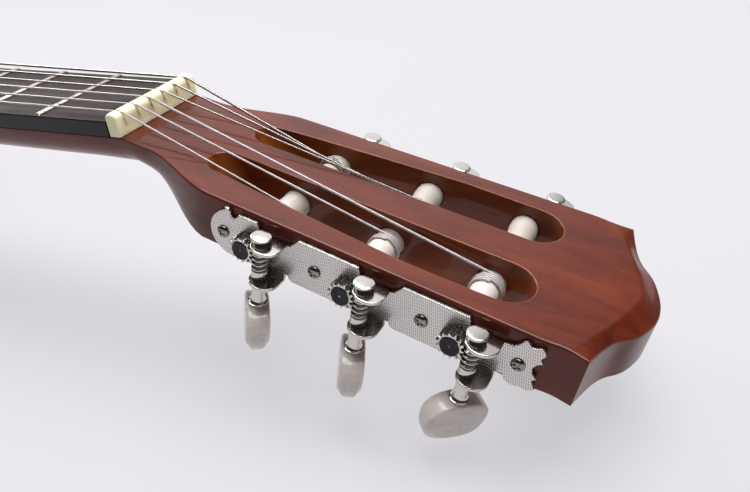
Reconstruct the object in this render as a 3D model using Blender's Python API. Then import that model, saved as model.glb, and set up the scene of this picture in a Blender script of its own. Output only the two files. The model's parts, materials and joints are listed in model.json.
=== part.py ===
"""A small classical guitar lying on its flat back, with a slotted headstock and six worm-geared tuners.

Row frame: +X runs from the tail to the headstock, +Y to the bass side, +Z up out of the soundboard.
The origin is on the back's outer face, under the middle of the body's length. Lengths below are in metres.
"""

import math

import bmesh
import bpy
from mathutils import Matrix, Vector

MM = 0.001
GAP = 0.3 * MM

# Driving dimensions
SCALE_LENGTH = 562 * MM
BODY_LENGTH = 424 * MM
BODY_DEPTH = 84 * MM
BRIDGE_TO_TAIL = 143 * MM
LOWER_BOUT = 159 * MM  # half widths
WAIST = 101 * MM
UPPER_BOUT = 120 * MM
NUT_WIDTH = 42.8 * MM
BOARD_WIDENING = 0.0165  # growth of half the fingerboard's width per length, away from the nut
HEAD_TILT = math.radians(15.3)

# Body
PLATE_THICKNESS = 2.5 * MM
RIB_THICKNESS = 2.0 * MM
LINING_WIDTH = 5 * MM
LINING_HEIGHT = 12 * MM
SOUNDHOLE_RADIUS = 38 * MM
ROSETTE_WIDTH = 11 * MM
ROSETTE_THICKNESS = 0.8 * MM

# Neck, fingerboard, nut and frets
FINGERBOARD_THICKNESS = 5.6 * MM
FRET_HEIGHT = 1.0 * MM
FRET_WIDTH = 2.2 * MM
FRET_COUNT = 19
NECK_DEPTH = 14.2 * MM
NECK_FULLNESS = 0.92  # 1 is an ellipse, less is squarer
HEEL_LENGTH = 46 * MM
NUT_THICKNESS = 5.0 * MM
NUT_HEIGHT = 8.2 * MM
NUT_STRING_REST = 7.4 * MM
STRING_SPREAD_NUT = 34.6 * MM
STRING_SPREAD_BRIDGE = 56 * MM

# Headstock, in its own frame: u along it from the nut, v across it, w out of its face
HEAD_THICKNESS = 18.1 * MM
HEAD_SHOULDER = 40 * MM
HEAD_CORNER = 164.2 * MM
HEAD_APEX = 179.5 * MM
HEAD_HALF_AT_SHOULDER = 31.2 * MM
HEAD_HALF_AT_CORNER = 36.3 * MM
SLOT_START = 29.5 * MM
SLOT_RAMP = 18 * MM
SLOT_END = 144 * MM

# Tuners, in each side's own frame: p along the headstock's side, q out of it, w as above
TUNER_PITCH = 35 * MM
FIRST_TUNER = 58.6 * MM
AXIS_DEPTH = 10.2 * MM
TUNER_PLATE = 1.2 * MM
SCREW_RADIUS = 1.1 * MM
SCREW_LENGTH = 5 * MM
WORM_OUT = 4.8 * MM
WORM_OFFSET = 6.34 * MM
COG_TEETH = 14
COG_PITCH_RADIUS = 4.0 * MM
COG_RADIUS = 4.35 * MM
COG_ROOT = 3.5 * MM
COG_BACK = 1.9 * MM
COG_FRONT = 6.5 * MM
WORM_RADIUS = 2.5 * MM
WORM_CORE = 1.75 * MM
WORM_TOP = -7.0 * MM
WORM_BOTTOM = -16.6 * MM
WORM_SIDES = 10
SHAFT_RADIUS = 1.5 * MM
COLLAR_RADIUS = 2.1 * MM
FERRULE_RADIUS = 3.1 * MM
TANG_RADIUS = 1.4 * MM
EAR_TOP = -4.9 * MM
EAR_BOTTOM = -19.3 * MM
EAR_THICKNESS = 1.1 * MM
EAR_RADIUS = 4.95 * MM
EAR_REACH = 10 * MM
EAR_SET = 2.1 * MM
ROLLER_RADIUS = 4.9 * MM
ROLLER_BORE = 5.3 * MM
SPINDLE_RADIUS = 1.9 * MM
CAP_RADIUS = 3.3 * MM
CAP_NECK_RADIUS = 2.6 * MM
BUTTON_TOP = -28.4 * MM
BUTTON_HEIGHT = 16 * MM
BUTTON_WIDTH = 20.5 * MM
BUTTON_DEPTH = 7.6 * MM
BUTTON_SOCKET = 9 * MM
BUTTON_TURNS = {1: (78, 82, 70), -1: (53, 63, 134)}  # degrees, by side, from the nut to the tip

# The bass tuners sit a little nearer the tip and the face than the treble ones
BASS_FORWARD = 1.6 * MM
BASS_RAISE = 1.2 * MM

# Worked out from the driving dimensions
SADDLE_X = BRIDGE_TO_TAIL - BODY_LENGTH / 2
NUT_BACK_X = SADDLE_X + SCALE_LENGTH
NUT_FRONT_X = NUT_BACK_X + NUT_THICKNESS
BODY_END_X = BODY_LENGTH / 2
SIDE_ANGLE = math.atan2(HEAD_HALF_AT_CORNER - HEAD_HALF_AT_SHOULDER, HEAD_CORNER - HEAD_SHOULDER)
WORM_LEAD = 2 * math.pi * COG_PITCH_RADIUS / COG_TEETH
SADDLE_TOP = BODY_DEPTH + 12.6 * MM
STRING_RADII = (0.55 * MM, 0.46 * MM, 0.38 * MM, 0.52 * MM, 0.43 * MM, 0.36 * MM)
STRING_NAMES = ("E_low", "A", "D", "G", "B", "E_high")

COLOURS = {
    "mahogany": ((0.19, 0.045, 0.025), 0.25, 0.0),
    "spruce": ((0.72, 0.48, 0.23), 0.35, 0.0),
    "block_wood": ((0.55, 0.36, 0.2), 0.7, 0.0),
    "dark_wood": ((0.03, 0.02, 0.018), 0.4, 0.0),
    "cream": ((0.86, 0.8, 0.62), 0.35, 0.0),
    "inlay": ((0.3, 0.12, 0.05), 0.3, 0.0),
    "nickel": ((0.72, 0.7, 0.66), 0.2, 1.0),
    "white_plastic": ((0.88, 0.84, 0.77), 0.35, 0.0),
    "pearl": ((0.78, 0.74, 0.68), 0.25, 0.0),
    "nylon": ((0.85, 0.8, 0.84), 0.25, 0.0),
    "wound": ((0.75, 0.74, 0.7), 0.3, 1.0),
}


def clear_scene():
    for obj in list(bpy.data.objects):
        bpy.data.objects.remove(obj)


def material(name):
    found = bpy.data.materials.get(name)
    if found:
        return found
    colour, roughness, metallic = COLOURS[name]
    made = bpy.data.materials.new(name)
    made.use_nodes = True
    shader = made.node_tree.nodes["Principled BSDF"]
    shader.inputs["Base Color"].default_value = (*colour, 1)
    shader.inputs["Roughness"].default_value = roughness
    shader.inputs["Metallic"].default_value = metallic
    return made


def collection(name):
    made = bpy.data.collections.new(name)
    bpy.context.scene.collection.children.link(made)
    return made


def add(name, data, look=None, parent=None, place=(0, 0, 0)):
    """A named object; with no look it is a cutter or a helper."""
    obj = bpy.data.objects.new(name, data)
    (PARTS if look else HELPERS).objects.link(obj)
    if look:
        data.materials.append(material(look))
    else:
        obj.hide_render = True
        obj.display_type = "WIRE"
    obj.parent = parent
    obj.location = place
    return obj


def empty(name, parent, place, turn_axis, turn):
    obj = bpy.data.objects.new(name, None)
    HELPERS.objects.link(obj)
    obj.parent = parent
    obj.location = place
    obj.rotation_euler["XYZ".index(turn_axis)] = turn
    return obj


def mesh_of(build):
    """A mesh from a function that fills a bmesh."""
    bm = bmesh.new()
    build(bm)
    bmesh.ops.recalc_face_normals(bm, faces=bm.faces)
    if bm.calc_volume(signed=True) < 0:
        bmesh.ops.reverse_faces(bm, faces=bm.faces)
    mesh = bpy.data.meshes.new("shape")
    bm.to_mesh(mesh)
    bm.free()
    return mesh


def loft(rings):
    """A closed solid through rings of points, each ring a loop of equal length, with both ends capped."""

    def build(bm):
        loops = [[bm.verts.new(p) for p in ring] for ring in rings]
        for a, b in zip(loops, loops[1:]):
            for i in range(len(a)):
                j = (i + 1) % len(a)
                bm.faces.new((a[i], a[j], b[j], b[i]))
        bm.faces.new(loops[0])
        bm.faces.new(loops[-1])

    return mesh_of(build)


def box(low, high):
    def build(bm):
        size = Vector(high) - Vector(low)
        middle = (Vector(high) + Vector(low)) / 2
        bmesh.ops.create_cube(bm, size=1, matrix=Matrix.Translation(middle) @ Matrix.Diagonal((*size, 1)))

    return mesh_of(build)


def cylinder(radius, start, end, sides=20, end_radius=None):
    """A cylinder or cone between two points."""

    def build(bm):
        along = Vector(end) - Vector(start)
        turn = along.to_track_quat("Z", "Y").to_matrix().to_4x4()
        where = Matrix.Translation((Vector(start) + Vector(end)) / 2) @ turn
        bmesh.ops.create_cone(
            bm,
            cap_ends=True,
            segments=sides,
            radius1=radius,
            radius2=radius if end_radius is None else end_radius,
            depth=along.length,
            matrix=where,
        )

    return mesh_of(build)


def flat(outlines, low, high):
    """A mesh from flat outlines in XY, extruded from low to high; outlines inside the first are holes."""
    curve = bpy.data.curves.new("outline", "CURVE")
    curve.dimensions = "2D"
    curve.fill_mode = "BOTH"
    curve.extrude = (high - low) / 2
    for outline in outlines:
        spline = curve.splines.new("POLY")
        spline.points.add(len(outline) - 1)
        for point, (x, y) in zip(spline.points, outline):
            point.co = (x, y, 0, 1)
        spline.use_cyclic_u = True
    holder = bpy.data.objects.new("outline", curve)
    HELPERS.objects.link(holder)
    graph = bpy.context.evaluated_depsgraph_get()
    mesh = bpy.data.meshes.new_from_object(holder.evaluated_get(graph))
    bpy.data.objects.remove(holder)
    mesh.materials.clear()
    bm = bmesh.new()
    bm.from_mesh(mesh)
    bmesh.ops.remove_doubles(bm, verts=bm.verts, dist=0.01 * MM)
    bmesh.ops.translate(bm, verts=bm.verts, vec=(0, 0, (low + high) / 2))
    bmesh.ops.recalc_face_normals(bm, faces=bm.faces)
    bm.to_mesh(mesh)
    bm.free()
    return mesh


def combine(obj, mesh, operation, name="tool"):
    """Adds a Boolean with a helper that has obj's own parent and place."""
    tool = add(f"{obj.name}_{name}", mesh, None, obj.parent, obj.location)
    modifier = obj.modifiers.new(name, "BOOLEAN")
    modifier.operation = operation
    modifier.object = tool
    return tool


def smooth(*objects):
    for obj in objects:
        obj.data.shade_smooth()
        obj.data.set_sharp_from_angle(angle=math.radians(35))


def arc(centre, radius, start, end, count):
    """Points on an arc, angles in degrees."""
    for i in range(count + 1):
        angle = math.radians(start + (end - start) * i / count)
        yield (centre[0] + radius * math.cos(angle), centre[1] + radius * math.sin(angle))


def bezier(points, count):
    """Points along one cubic curve, without its last point."""
    for i in range(count):
        t = i / count
        weights = ((1 - t) ** 3, 3 * t * (1 - t) ** 2, 3 * t * t * (1 - t), t**3)
        yield tuple(sum(w * p[k] for w, p in zip(weights, points)) for k in (0, 1))


# The body's outline


def half_outline(inset=0.0):
    """The bass half of the body's outline, from tail to neck, moved inwards by inset."""
    tail, lower, waist, upper = -BODY_LENGTH / 2, -92 * MM, 56 * MM, 134 * MM
    pieces = (
        ((tail, 0), (tail, 92 * MM), (-156 * MM, LOWER_BOUT), (lower, LOWER_BOUT)),
        ((lower, LOWER_BOUT), (-28 * MM, LOWER_BOUT), (12 * MM, WAIST), (waist, WAIST)),
        ((waist, WAIST), (86 * MM, WAIST), (102 * MM, UPPER_BOUT), (upper, UPPER_BOUT)),
        ((upper, UPPER_BOUT), (180 * MM, UPPER_BOUT), (BODY_END_X, 82 * MM), (BODY_END_X, 0)),
    )
    points = [p for piece, count in zip(pieces, (10, 7, 6, 9)) for p in bezier(piece, count)]
    points.append((BODY_END_X, 0))
    if not inset:
        return points
    moved = []
    for i, (x, y) in enumerate(points):
        before, after = points[max(i - 1, 0)], points[min(i + 1, len(points) - 1)]
        along = Vector((after[0] - before[0], after[1] - before[1])).normalized()
        moved.append((x + along.y * inset, y - along.x * inset))
    moved[0] = (points[0][0] + inset, 0)
    moved[-1] = (BODY_END_X - inset, 0)
    return moved


def whole_outline(inset=0.0):
    bass = half_outline(inset)
    return bass + [(x, -y) for x, y in reversed(bass[1:-1])]


def crossing(low, high, y):
    """Where the line between two points reaches y."""
    share = (y - low[1]) / (high[1] - low[1])
    return (low[0] + share * (high[0] - low[0]), y)


def side_strip(side, outer, inner, clear):
    """The outline of a strip between two insets on one side, kept clear of the centre line by clear."""

    def trimmed(inset):
        points = half_outline(inset)
        kept = [i for i, (_, y) in enumerate(points) if y > clear]
        first, last = kept[0], kept[-1]
        start = crossing(points[first - 1], points[first], clear)
        end = crossing(points[last + 1], points[last], clear)
        return [start] + points[first : last + 1] + [end]

    loop = trimmed(outer) + list(reversed(trimmed(inner)))
    return [(x, side * y) for x, y in loop]


def block_outline(points, half, length):
    """An end block: along the ribs to half its width, and straight across inside."""
    count = next(i for i, (_, y) in enumerate(points) if y > half)
    inner = points[0][0] + math.copysign(length, points[-1][0])
    bass = points[:count] + [crossing(points[count - 1], points[count], half), (inner, half)]
    return bass + [(x, -y) for x, y in reversed(bass[1:])]


def build_body():
    top, bottom = BODY_DEPTH - PLATE_THICKNESS, PLATE_THICKNESS
    add("back_plate", flat([whole_outline()], 0, bottom), "mahogany")
    hole = list(arc((hole_x(), 0), SOUNDHOLE_RADIUS, 0, 337.5, 15))
    soundboard = add("soundboard", flat([whole_outline(), hole], top, BODY_DEPTH), "spruce")
    inner, outer = SOUNDHOLE_RADIUS + 5 * MM, SOUNDHOLE_RADIUS + 5 * MM + ROSETTE_WIDTH
    recess = [list(arc((hole_x(), 0), r, 0, 348.75, 31)) for r in (outer + GAP, inner - GAP)]
    combine(soundboard, flat(recess, BODY_DEPTH - ROSETTE_THICKNESS - GAP, BODY_DEPTH + MM), "DIFFERENCE")
    ring = [list(arc((hole_x(), 0), r, 0, 348.75, 31)) for r in (outer, inner)]
    add("rosette", flat(ring, BODY_DEPTH - ROSETTE_THICKNESS, BODY_DEPTH), "inlay")
    low, high = bottom + GAP, top - GAP
    for side, name in ((1, "bass"), (-1, "treble")):
        strip = side_strip(side, 0, RIB_THICKNESS, GAP / 2)
        add(f"rib_{name}", flat([strip], low, high), "mahogany")
        inset = RIB_THICKNESS + GAP
        strip = side_strip(side, inset, inset + LINING_WIDTH, 34 * MM)
        add(f"top_lining_{name}", flat([strip], high - LINING_HEIGHT, high), "block_wood")
        add(f"back_lining_{name}", flat([strip], low, low + LINING_HEIGHT), "block_wood")
    inside = half_outline(RIB_THICKNESS + GAP)
    add("tail_block", flat([block_outline(inside, 32 * MM, 16 * MM)], low, high), "block_wood")
    add("foot_block", flat([block_outline(inside[::-1], 30 * MM, 48 * MM)], low, high), "block_wood")
    add_bracing(high, low)


def hole_x():
    """The soundhole's centre, just past the end of the fingerboard."""
    return fret_x(FRET_COUNT) - 8 * MM - SOUNDHOLE_RADIUS


def add_bracing(high, low):
    """The harmonic bars and fan struts under the soundboard, and the bar across the back."""
    reach = 88 * MM
    bar_x = hole_x() - SOUNDHOLE_RADIUS - 12 * MM
    bar = box((bar_x - 4 * MM, -reach, high - 14 * MM), (bar_x + 4 * MM, reach, high))
    fans = add("fan_bracing", bar, "block_wood")
    for i in range(-2, 3):
        start = Vector((bar_x - 2 * MM, i * 22 * MM, high))
        end = Vector((-BODY_LENGTH / 2 + 52 * MM, i * 36 * MM, high))
        across = Vector((start.y - end.y, end.x - start.x, 0)).normalized() * 3 * MM
        down = Vector((0, 0, -5 * MM))
        foot = across * 0.6
        rings = [(p - across, p + across, p + foot + down, p - foot + down) for p in (start, end)]
        combine(fans, loft(rings), "UNION", f"fan_{i + 3}")
    upper_x = hole_x() + SOUNDHOLE_RADIUS + 10 * MM
    add(
        "upper_harmonic_bar",
        box((upper_x - 4 * MM, -96 * MM, high - 14 * MM), (upper_x + 4 * MM, 96 * MM, high)),
        "block_wood",
    )
    add("back_brace", box((-64 * MM, -134 * MM, low), (-56 * MM, 134 * MM, low + 11 * MM)), "block_wood")


# Neck and fingerboard


def fret_x(number):
    return NUT_BACK_X - SCALE_LENGTH * (1 - 2 ** (-number / 12))


def board_half_width(x):
    """Half the fingerboard's width, growing evenly from the nut."""
    return NUT_WIDTH / 2 + (NUT_BACK_X - x) * BOARD_WIDENING


def neck_ring(x, depth):
    """A D-shaped section, flat on top."""
    half = board_half_width(x)
    for i in range(15):
        angle = math.pi * i / 14
        c, s = math.cos(angle), math.sin(angle)
        yield (half * math.copysign(abs(c) ** NECK_FULLNESS, c), -depth * s**NECK_FULLNESS)


def build_neck():
    start = BODY_END_X + GAP
    rings = []
    for i in range(9):
        x = start + HEEL_LENGTH * (i / 8) ** 1.5
        share = 1 - i / 8
        depth = NECK_DEPTH + (BODY_DEPTH - PLATE_THICKNESS - NECK_DEPTH) * share**1.7
        rings.append([(x, y, BODY_DEPTH + z) for y, z in neck_ring(x, depth)])
    for i in range(1, 4):
        x = start + HEEL_LENGTH + (NUT_BACK_X - 12 * MM - start - HEEL_LENGTH) * i / 3
        rings.append([(x, y, BODY_DEPTH + z) for y, z in neck_ring(x, NECK_DEPTH)])
    end = [(y, z) for y, z in neck_ring(NUT_FRONT_X, NECK_DEPTH)]
    lean = math.tan(HEAD_TILT)
    rings.append([(NUT_FRONT_X + z * lean, y, BODY_DEPTH + z) for y, z in end])
    smooth(add("neck_shaft", loft(rings), "mahogany"))


def build_fingerboard():
    end_x = fret_x(FRET_COUNT) - 3 * MM
    low = BODY_DEPTH + GAP
    high = BODY_DEPTH + FINGERBOARD_THICKNESS
    corners = []
    for x in (end_x, NUT_BACK_X - GAP):
        half = board_half_width(x)
        corners.append(((x, -half, low), (x, half, low), (x, half, high), (x, -half, high)))
    board = add("fingerboard", loft(corners), "dark_wood")
    for number in range(1, FRET_COUNT + 1):
        x, half = fret_x(number), board_half_width(fret_x(number)) - 0.6 * MM
        crown = [(-0.5, -0.5), (0.5, -0.5), (0.5, 0.2), (0.25, 1), (-0.25, 1), (-0.5, 0.2)]
        rings = [
            [(x + a * FRET_WIDTH, y, high + b * FRET_HEIGHT) for a, b in crown] for y in (-half, half)
        ]
        combine(board, loft(rings), "UNION", f"fret_{number}")


def string_side(index, spread):
    """The distance of a string from the centre line; the bass side is +Y."""
    return spread * (0.5 - index / 5)


def build_nut():
    half = NUT_WIDTH / 2
    low, high = BODY_DEPTH + GAP, BODY_DEPTH + NUT_HEIGHT
    nut = add("nut", box((NUT_BACK_X, -half, low), (NUT_FRONT_X, half, high)), "cream")
    for index, radius in enumerate(STRING_RADII):
        y = string_side(index, STRING_SPREAD_NUT)
        z = BODY_DEPTH + NUT_STRING_REST + radius
        ends = [(NUT_BACK_X - MM, y, z + 0.1 * MM), (NUT_FRONT_X + MM, y, z - 0.2 * MM)]
        combine(nut, cylinder(radius + GAP, *ends, sides=10), "DIFFERENCE", f"notch_{index}")


def build_bridge():
    low = BODY_DEPTH + GAP
    back, front = SADDLE_X - 18 * MM, SADDLE_X + 8 * MM
    wings = box((back, -80 * MM, low), (front, 80 * MM, low + 3.4 * MM))
    bridge = add("bridge", wings, "dark_wood")
    block = box((back + 0.4 * MM, -39 * MM, low + MM), (front - 0.4 * MM, 39 * MM, BODY_DEPTH + 9 * MM))
    combine(bridge, block, "UNION", "block")
    saddle_slot = box(
        (SADDLE_X - 1.8 * MM, -37 * MM, low + 4 * MM),
        (SADDLE_X + 1.8 * MM, 37 * MM, BODY_DEPTH + 20 * MM),
    )
    combine(bridge, saddle_slot, "DIFFERENCE", "saddle_slot")
    channel = box(
        (SADDLE_X - 8 * MM, -40 * MM, low + 4 * MM),
        (SADDLE_X - 4 * MM, 40 * MM, BODY_DEPTH + 20 * MM),
    )
    combine(bridge, channel, "DIFFERENCE", "channel")
    for index in range(6):
        y = string_side(index, STRING_SPREAD_BRIDGE)
        z = BODY_DEPTH + 6 * MM
        hole = cylinder(1.1 * MM, (back - MM, y, z), (SADDLE_X - 5 * MM, y, z), sides=10)
        combine(bridge, hole, "DIFFERENCE", f"string_hole_{index}")
    saddle = box(
        (SADDLE_X - 1.5 * MM, -36 * MM, low + 4 * MM + GAP),
        (SADDLE_X + 1.5 * MM, 36 * MM, SADDLE_TOP),
    )
    add("saddle", saddle, "cream")


# Headstock


def shoulder_blend(u):
    """0 where the neck's section ends, 1 where the headstock's square section is full."""
    t = min(max((u - 4 * MM) / (HEAD_SHOULDER - 4 * MM), 0), 1)
    return t * t * (3 - 2 * t)


def head_half_width(u):
    """Half the headstock's width: the flare from the nut, the straight side, and the bracket-shaped tip."""
    if u < HEAD_SHOULDER:
        t = min(max((u - 10 * MM) / (HEAD_SHOULDER - 10 * MM), 0), 1)
        return NUT_WIDTH / 2 + (HEAD_HALF_AT_SHOULDER - NUT_WIDTH / 2) * t * t * (2.6 - 1.6 * t)
    if u <= HEAD_CORNER:
        return HEAD_HALF_AT_SHOULDER + (u - HEAD_SHOULDER) * math.tan(SIDE_ANGLE)
    t = (u - HEAD_CORNER) / (HEAD_APEX - HEAD_CORNER)
    ogee = 1 - t - 0.115 * math.sin(2 * math.pi * t)
    return HEAD_HALF_AT_CORNER * max(ogee, 0.02)


def head_ring(u):
    """A section across the headstock: the neck's D at the nut, square further on."""
    half, square = head_half_width(u), shoulder_blend(u)
    depth = NECK_DEPTH + (HEAD_THICKNESS - NECK_DEPTH) * square
    corner = min(1.2 * MM, half * 0.4)
    for i in range(15):
        angle = math.pi * i / 14
        c, s = math.cos(angle), math.sin(angle)
        rounded = (half * math.copysign(abs(c) ** NECK_FULLNESS, c), -depth * s**NECK_FULLNESS)
        place = min(i, 14 - i)
        if place < 1:
            boxy = (half, 0)
        elif place < 4:
            boxy = (half, -depth * place / 4)
        elif place == 4:
            boxy = (half, corner - depth)
        elif place == 5:
            boxy = (half - corner, -depth)
        else:
            boxy = (half * (7 - place) / 3, -depth)
        v = boxy[0] * (1 if i < 7 else -1)
        yield (u, (1 - square) * rounded[0] + square * v, (1 - square) * rounded[1] + square * boxy[1])


def slot_edge(u):
    """The inner and outer edges of a slot, as distances from the centre line."""
    share = min(max((u - SLOT_START) / (128 * MM - SLOT_START), 0), 1)
    inner = (5.8 + 1.8 * share) * MM
    outer = (17.2 + 9.2 * min(share * 1.25, 1) ** 0.8) * MM
    return inner, outer


def slot_ring(side, start, w):
    """The loop of a slot's wall at one height, beginning at start."""
    tip = SLOT_END - 9.2 * MM
    inner, outer = slot_edge(start)
    radius = (outer - inner) / 2
    points = list(arc((start + radius, inner + radius), radius, 100, 260, 6))
    points += [(u, slot_edge(u)[0]) for u in (start + 20 * MM, 85 * MM, tip)]
    inner, outer = slot_edge(tip)
    radius = (outer - inner) / 2
    points += list(arc((SLOT_END - radius, inner + radius), radius, -80, 80, 8))
    points += [(u, slot_edge(u)[1]) for u in (110 * MM, 85 * MM, 68 * MM)]
    return [(u, side * v, w) for u, v in points]


def build_headstock(head):
    stations = [GAP, 6 * MM, 12 * MM, 18 * MM, 24 * MM, 30 * MM, 35 * MM, HEAD_SHOULDER]
    stations += [100 * MM, HEAD_CORNER]
    stations += [HEAD_CORNER + (HEAD_APEX - HEAD_CORNER) * i / 7 for i in range(1, 8)]
    stock = add("headstock", loft([list(head_ring(u)) for u in stations]), "mahogany", head)
    for side in (1, -1):
        rings = [
            slot_ring(side, SLOT_START + SLOT_RAMP * 1.05, -HEAD_THICKNESS - MM),
            slot_ring(side, SLOT_START - MM, MM),
        ]
        combine(stock, loft(rings), "DIFFERENCE", f"slot_{side}")


def bore_headstock(frame, side):
    """Bores through the rail into the web for the string rollers, and pilot holes for the screws."""
    bores = [(tuner_place(i), ROLLER_BORE, roller_length(i) + GAP, 20) for i in range(3)]
    bores += [(p, SCREW_RADIUS + GAP, SCREW_LENGTH + GAP, 12) for p in screw_places()]
    stock = bpy.data.objects["headstock"]
    for number, (p, radius, depth, sides) in enumerate(bores):
        ends = [(p, side * 4 * MM, -AXIS_DEPTH), (p, -side * depth, -AXIS_DEPTH)]
        tool = add(f"bore_{side}_{number}", cylinder(radius, *ends, sides=sides), None, frame)
        modifier = stock.modifiers.new("bore", "BOOLEAN")
        modifier.operation = "DIFFERENCE"
        modifier.object = tool


# Tuners


def tuner_place(place):
    """Where a tuner's roller lies along the headstock's side, from the side frame's origin."""
    return (FIRST_TUNER - HEAD_SHOULDER + place * TUNER_PITCH) / math.cos(SIDE_ANGLE)


def roller_length(place):
    """From the side face to the roller's blind end inside the web."""
    return head_half_width(FIRST_TUNER + place * TUNER_PITCH) - 4 * MM


def plate_outline():
    """The plate's outline: a leaf at the nut end, a lobe between tuners, and a scalloped end."""
    top, bottom = -1.6 * MM, -18 * MM
    places = [tuner_place(i) for i in range(3)]
    start, end = places[0] - 15 * MM, places[2] + 25.5 * MM
    points = list(arc((start + 6.5 * MM, -9.8 * MM), 8.4 * MM, 255, 85, 10))
    points += [(start + 8.6 * MM, -3.8 * MM), (start + 10.6 * MM, -1.8 * MM)]
    for i, place in enumerate(places):
        points += [(place + 2.4 * MM, top), (place + 3.4 * MM, top - 2 * MM)]
        points += [(place + 3.6 * MM, -5.4 * MM), (place + 13.2 * MM, -5.4 * MM)]
        if i < 2:
            points += [(place + 14.6 * MM, -4.6 * MM), (place + 16.6 * MM, top)]
    points += [(places[2] + 14 * MM, -5 * MM), (places[2] + 17 * MM, -4.6 * MM)]
    for centre, radius, low, high in ((-3.2, 2.0, 120, -40), (-7.4, 1.5, 60, -60), (-13, 1.5, 60, -60)):
        points += list(arc((end - 2.6 * MM, centre * MM), radius * MM, low, high, 4))
    points += [(end - 2.2 * MM, -17.4 * MM), (end - 6.5 * MM, bottom)]
    for place in reversed(places):
        points += [(place + 14.6 * MM, -15 * MM), (place + 13.4 * MM, bottom - 0.8 * MM)]
        points += [(place + 3.4 * MM, bottom - 0.8 * MM), (place + 2.6 * MM, bottom)]
    return points


def ear_outline(place, side):
    """A bent ear: straight where it leaves the plate, with a round end."""
    x = place + WORM_OFFSET + EAR_SET
    inner = TUNER_PLATE * 0.6 + GAP
    points = [(x - EAR_RADIUS, inner), (x + EAR_RADIUS, inner)]
    points += list(arc((x, EAR_REACH - EAR_RADIUS), EAR_RADIUS, 0, 180, 9))
    return [(a, side * b) for a, b in points]


def build_plate(frame, side, name):
    holes = [list(arc((p, -AXIS_DEPTH), SPINDLE_RADIUS + GAP, 0, 324, 9)) for p in map(tuner_place, range(3))]
    holes += [list(arc((p, -AXIS_DEPTH), 1.4 * MM, 0, 315, 7)) for p in screw_places()]
    mesh = flat([plate_outline(), *holes], 0, TUNER_PLATE)
    turn = Matrix(((1, 0, 0, 0), (0, 0, side, 0), (0, 1, 0, 0), (0, 0, 0, 1)))
    mesh.transform(Matrix.Translation((0, side * GAP, 0)) @ turn)
    if side > 0:
        mesh.flip_normals()
    plate = add(f"tuner_plate_{name}", mesh, "nickel", frame)
    for i in range(3):
        x = tuner_place(i) + WORM_OFFSET
        for top, label in ((EAR_TOP, "upper"), (EAR_BOTTOM + EAR_THICKNESS, "lower")):
            hole = [(a, side * b) for a, b in arc((x, WORM_OUT), SHAFT_RADIUS + GAP, 0, 315, 7)]
            ear = flat([ear_outline(tuner_place(i), side), hole], top - EAR_THICKNESS, top)
            combine(plate, ear, "UNION", f"{label}_ear_{i}")


def screw_places():
    """The four screws, each beside a tuner, clear of the worms."""
    places = [tuner_place(i) for i in range(3)]
    return [places[0] - 9.8 * MM, places[0] + 23.4 * MM, places[1] + 24.1 * MM, places[2] + 18.7 * MM]


def build_screws(frame, side, name):
    for number, place in enumerate(screw_places(), 1):
        seat = TUNER_PLATE + 2 * GAP
        body = [(SCREW_RADIUS, -SCREW_LENGTH), (SCREW_RADIUS, seat), (2.2 * MM, seat)]
        body += [(2.2 * MM, seat + 0.4 * MM), (1.2 * MM, seat + MM)]
        rings = [[(r * c, d * side, r * s) for c, s in circle(12)] for r, d in body]
        add(f"plate_screw_{name}_{number}", loft(rings), "nickel", frame, (place, 0, -AXIS_DEPTH))


def circle(count):
    for i in range(count):
        angle = 2 * math.pi * i / count
        yield math.cos(angle), math.sin(angle)


def cog_mesh(side):
    """A spur cog about Y with one tooth towards +X, where the worm is."""
    profile = []
    pitch = 2 * math.pi / COG_TEETH
    for tooth in range(COG_TEETH):
        for radius, share in ((COG_ROOT, -0.3), (COG_RADIUS, -0.14), (COG_RADIUS, 0.14), (COG_ROOT, 0.3)):
            angle = (tooth + share) * pitch
            profile.append((radius * math.cos(angle), radius * math.sin(angle)))
    return loft([[(x, side * q, z) for x, z in profile] for q in (COG_BACK, COG_FRONT)])


def roller_mesh(place, side):
    """A turned string roller about Y: blind end in the web, barrel, and the spindle that carries the cog."""
    end = -roller_length(place)
    barrel, spindle = ROLLER_RADIUS, SPINDLE_RADIUS
    profile = [(barrel - 0.5 * MM, end), (barrel, end + 0.5 * MM), (barrel, end + 4 * MM)]
    profile += [(barrel - 0.3 * MM, end + 6 * MM), (barrel - 0.3 * MM, -11 * MM)]
    profile += [(barrel, -9 * MM), (barrel, -GAP), (spindle, -GAP), (spindle, COG_BACK - GAP)]
    return loft([[(r * c, side * q, r * s) for c, s in circle(14)] for r, q in profile])


def thread_rings():
    """The worm's single right-handed thread, which faces a gap between teeth at the cog's height."""
    steps = 3 * WORM_SIDES
    base = -AXIS_DEPTH - 1.5 * WORM_LEAD
    root = WORM_CORE - 0.3 * MM
    shape = ((root, -0.5), (WORM_RADIUS, -0.2), (WORM_RADIUS, 0.2), (root, 0.5))
    rings = []
    for i in range(steps + 1):
        angle = math.pi + 2 * math.pi * i / WORM_SIDES
        z = base + i / WORM_SIDES * WORM_LEAD
        rings.append([(r * math.cos(angle), r * math.sin(angle), z + h * MM) for r, h in shape])
    return rings


def turned(profile, sides):
    """A solid turned about Z from (radius, height) pairs."""
    return loft([[(r * c, r * s, z) for c, s in circle(sides)] for r, z in profile])


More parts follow.
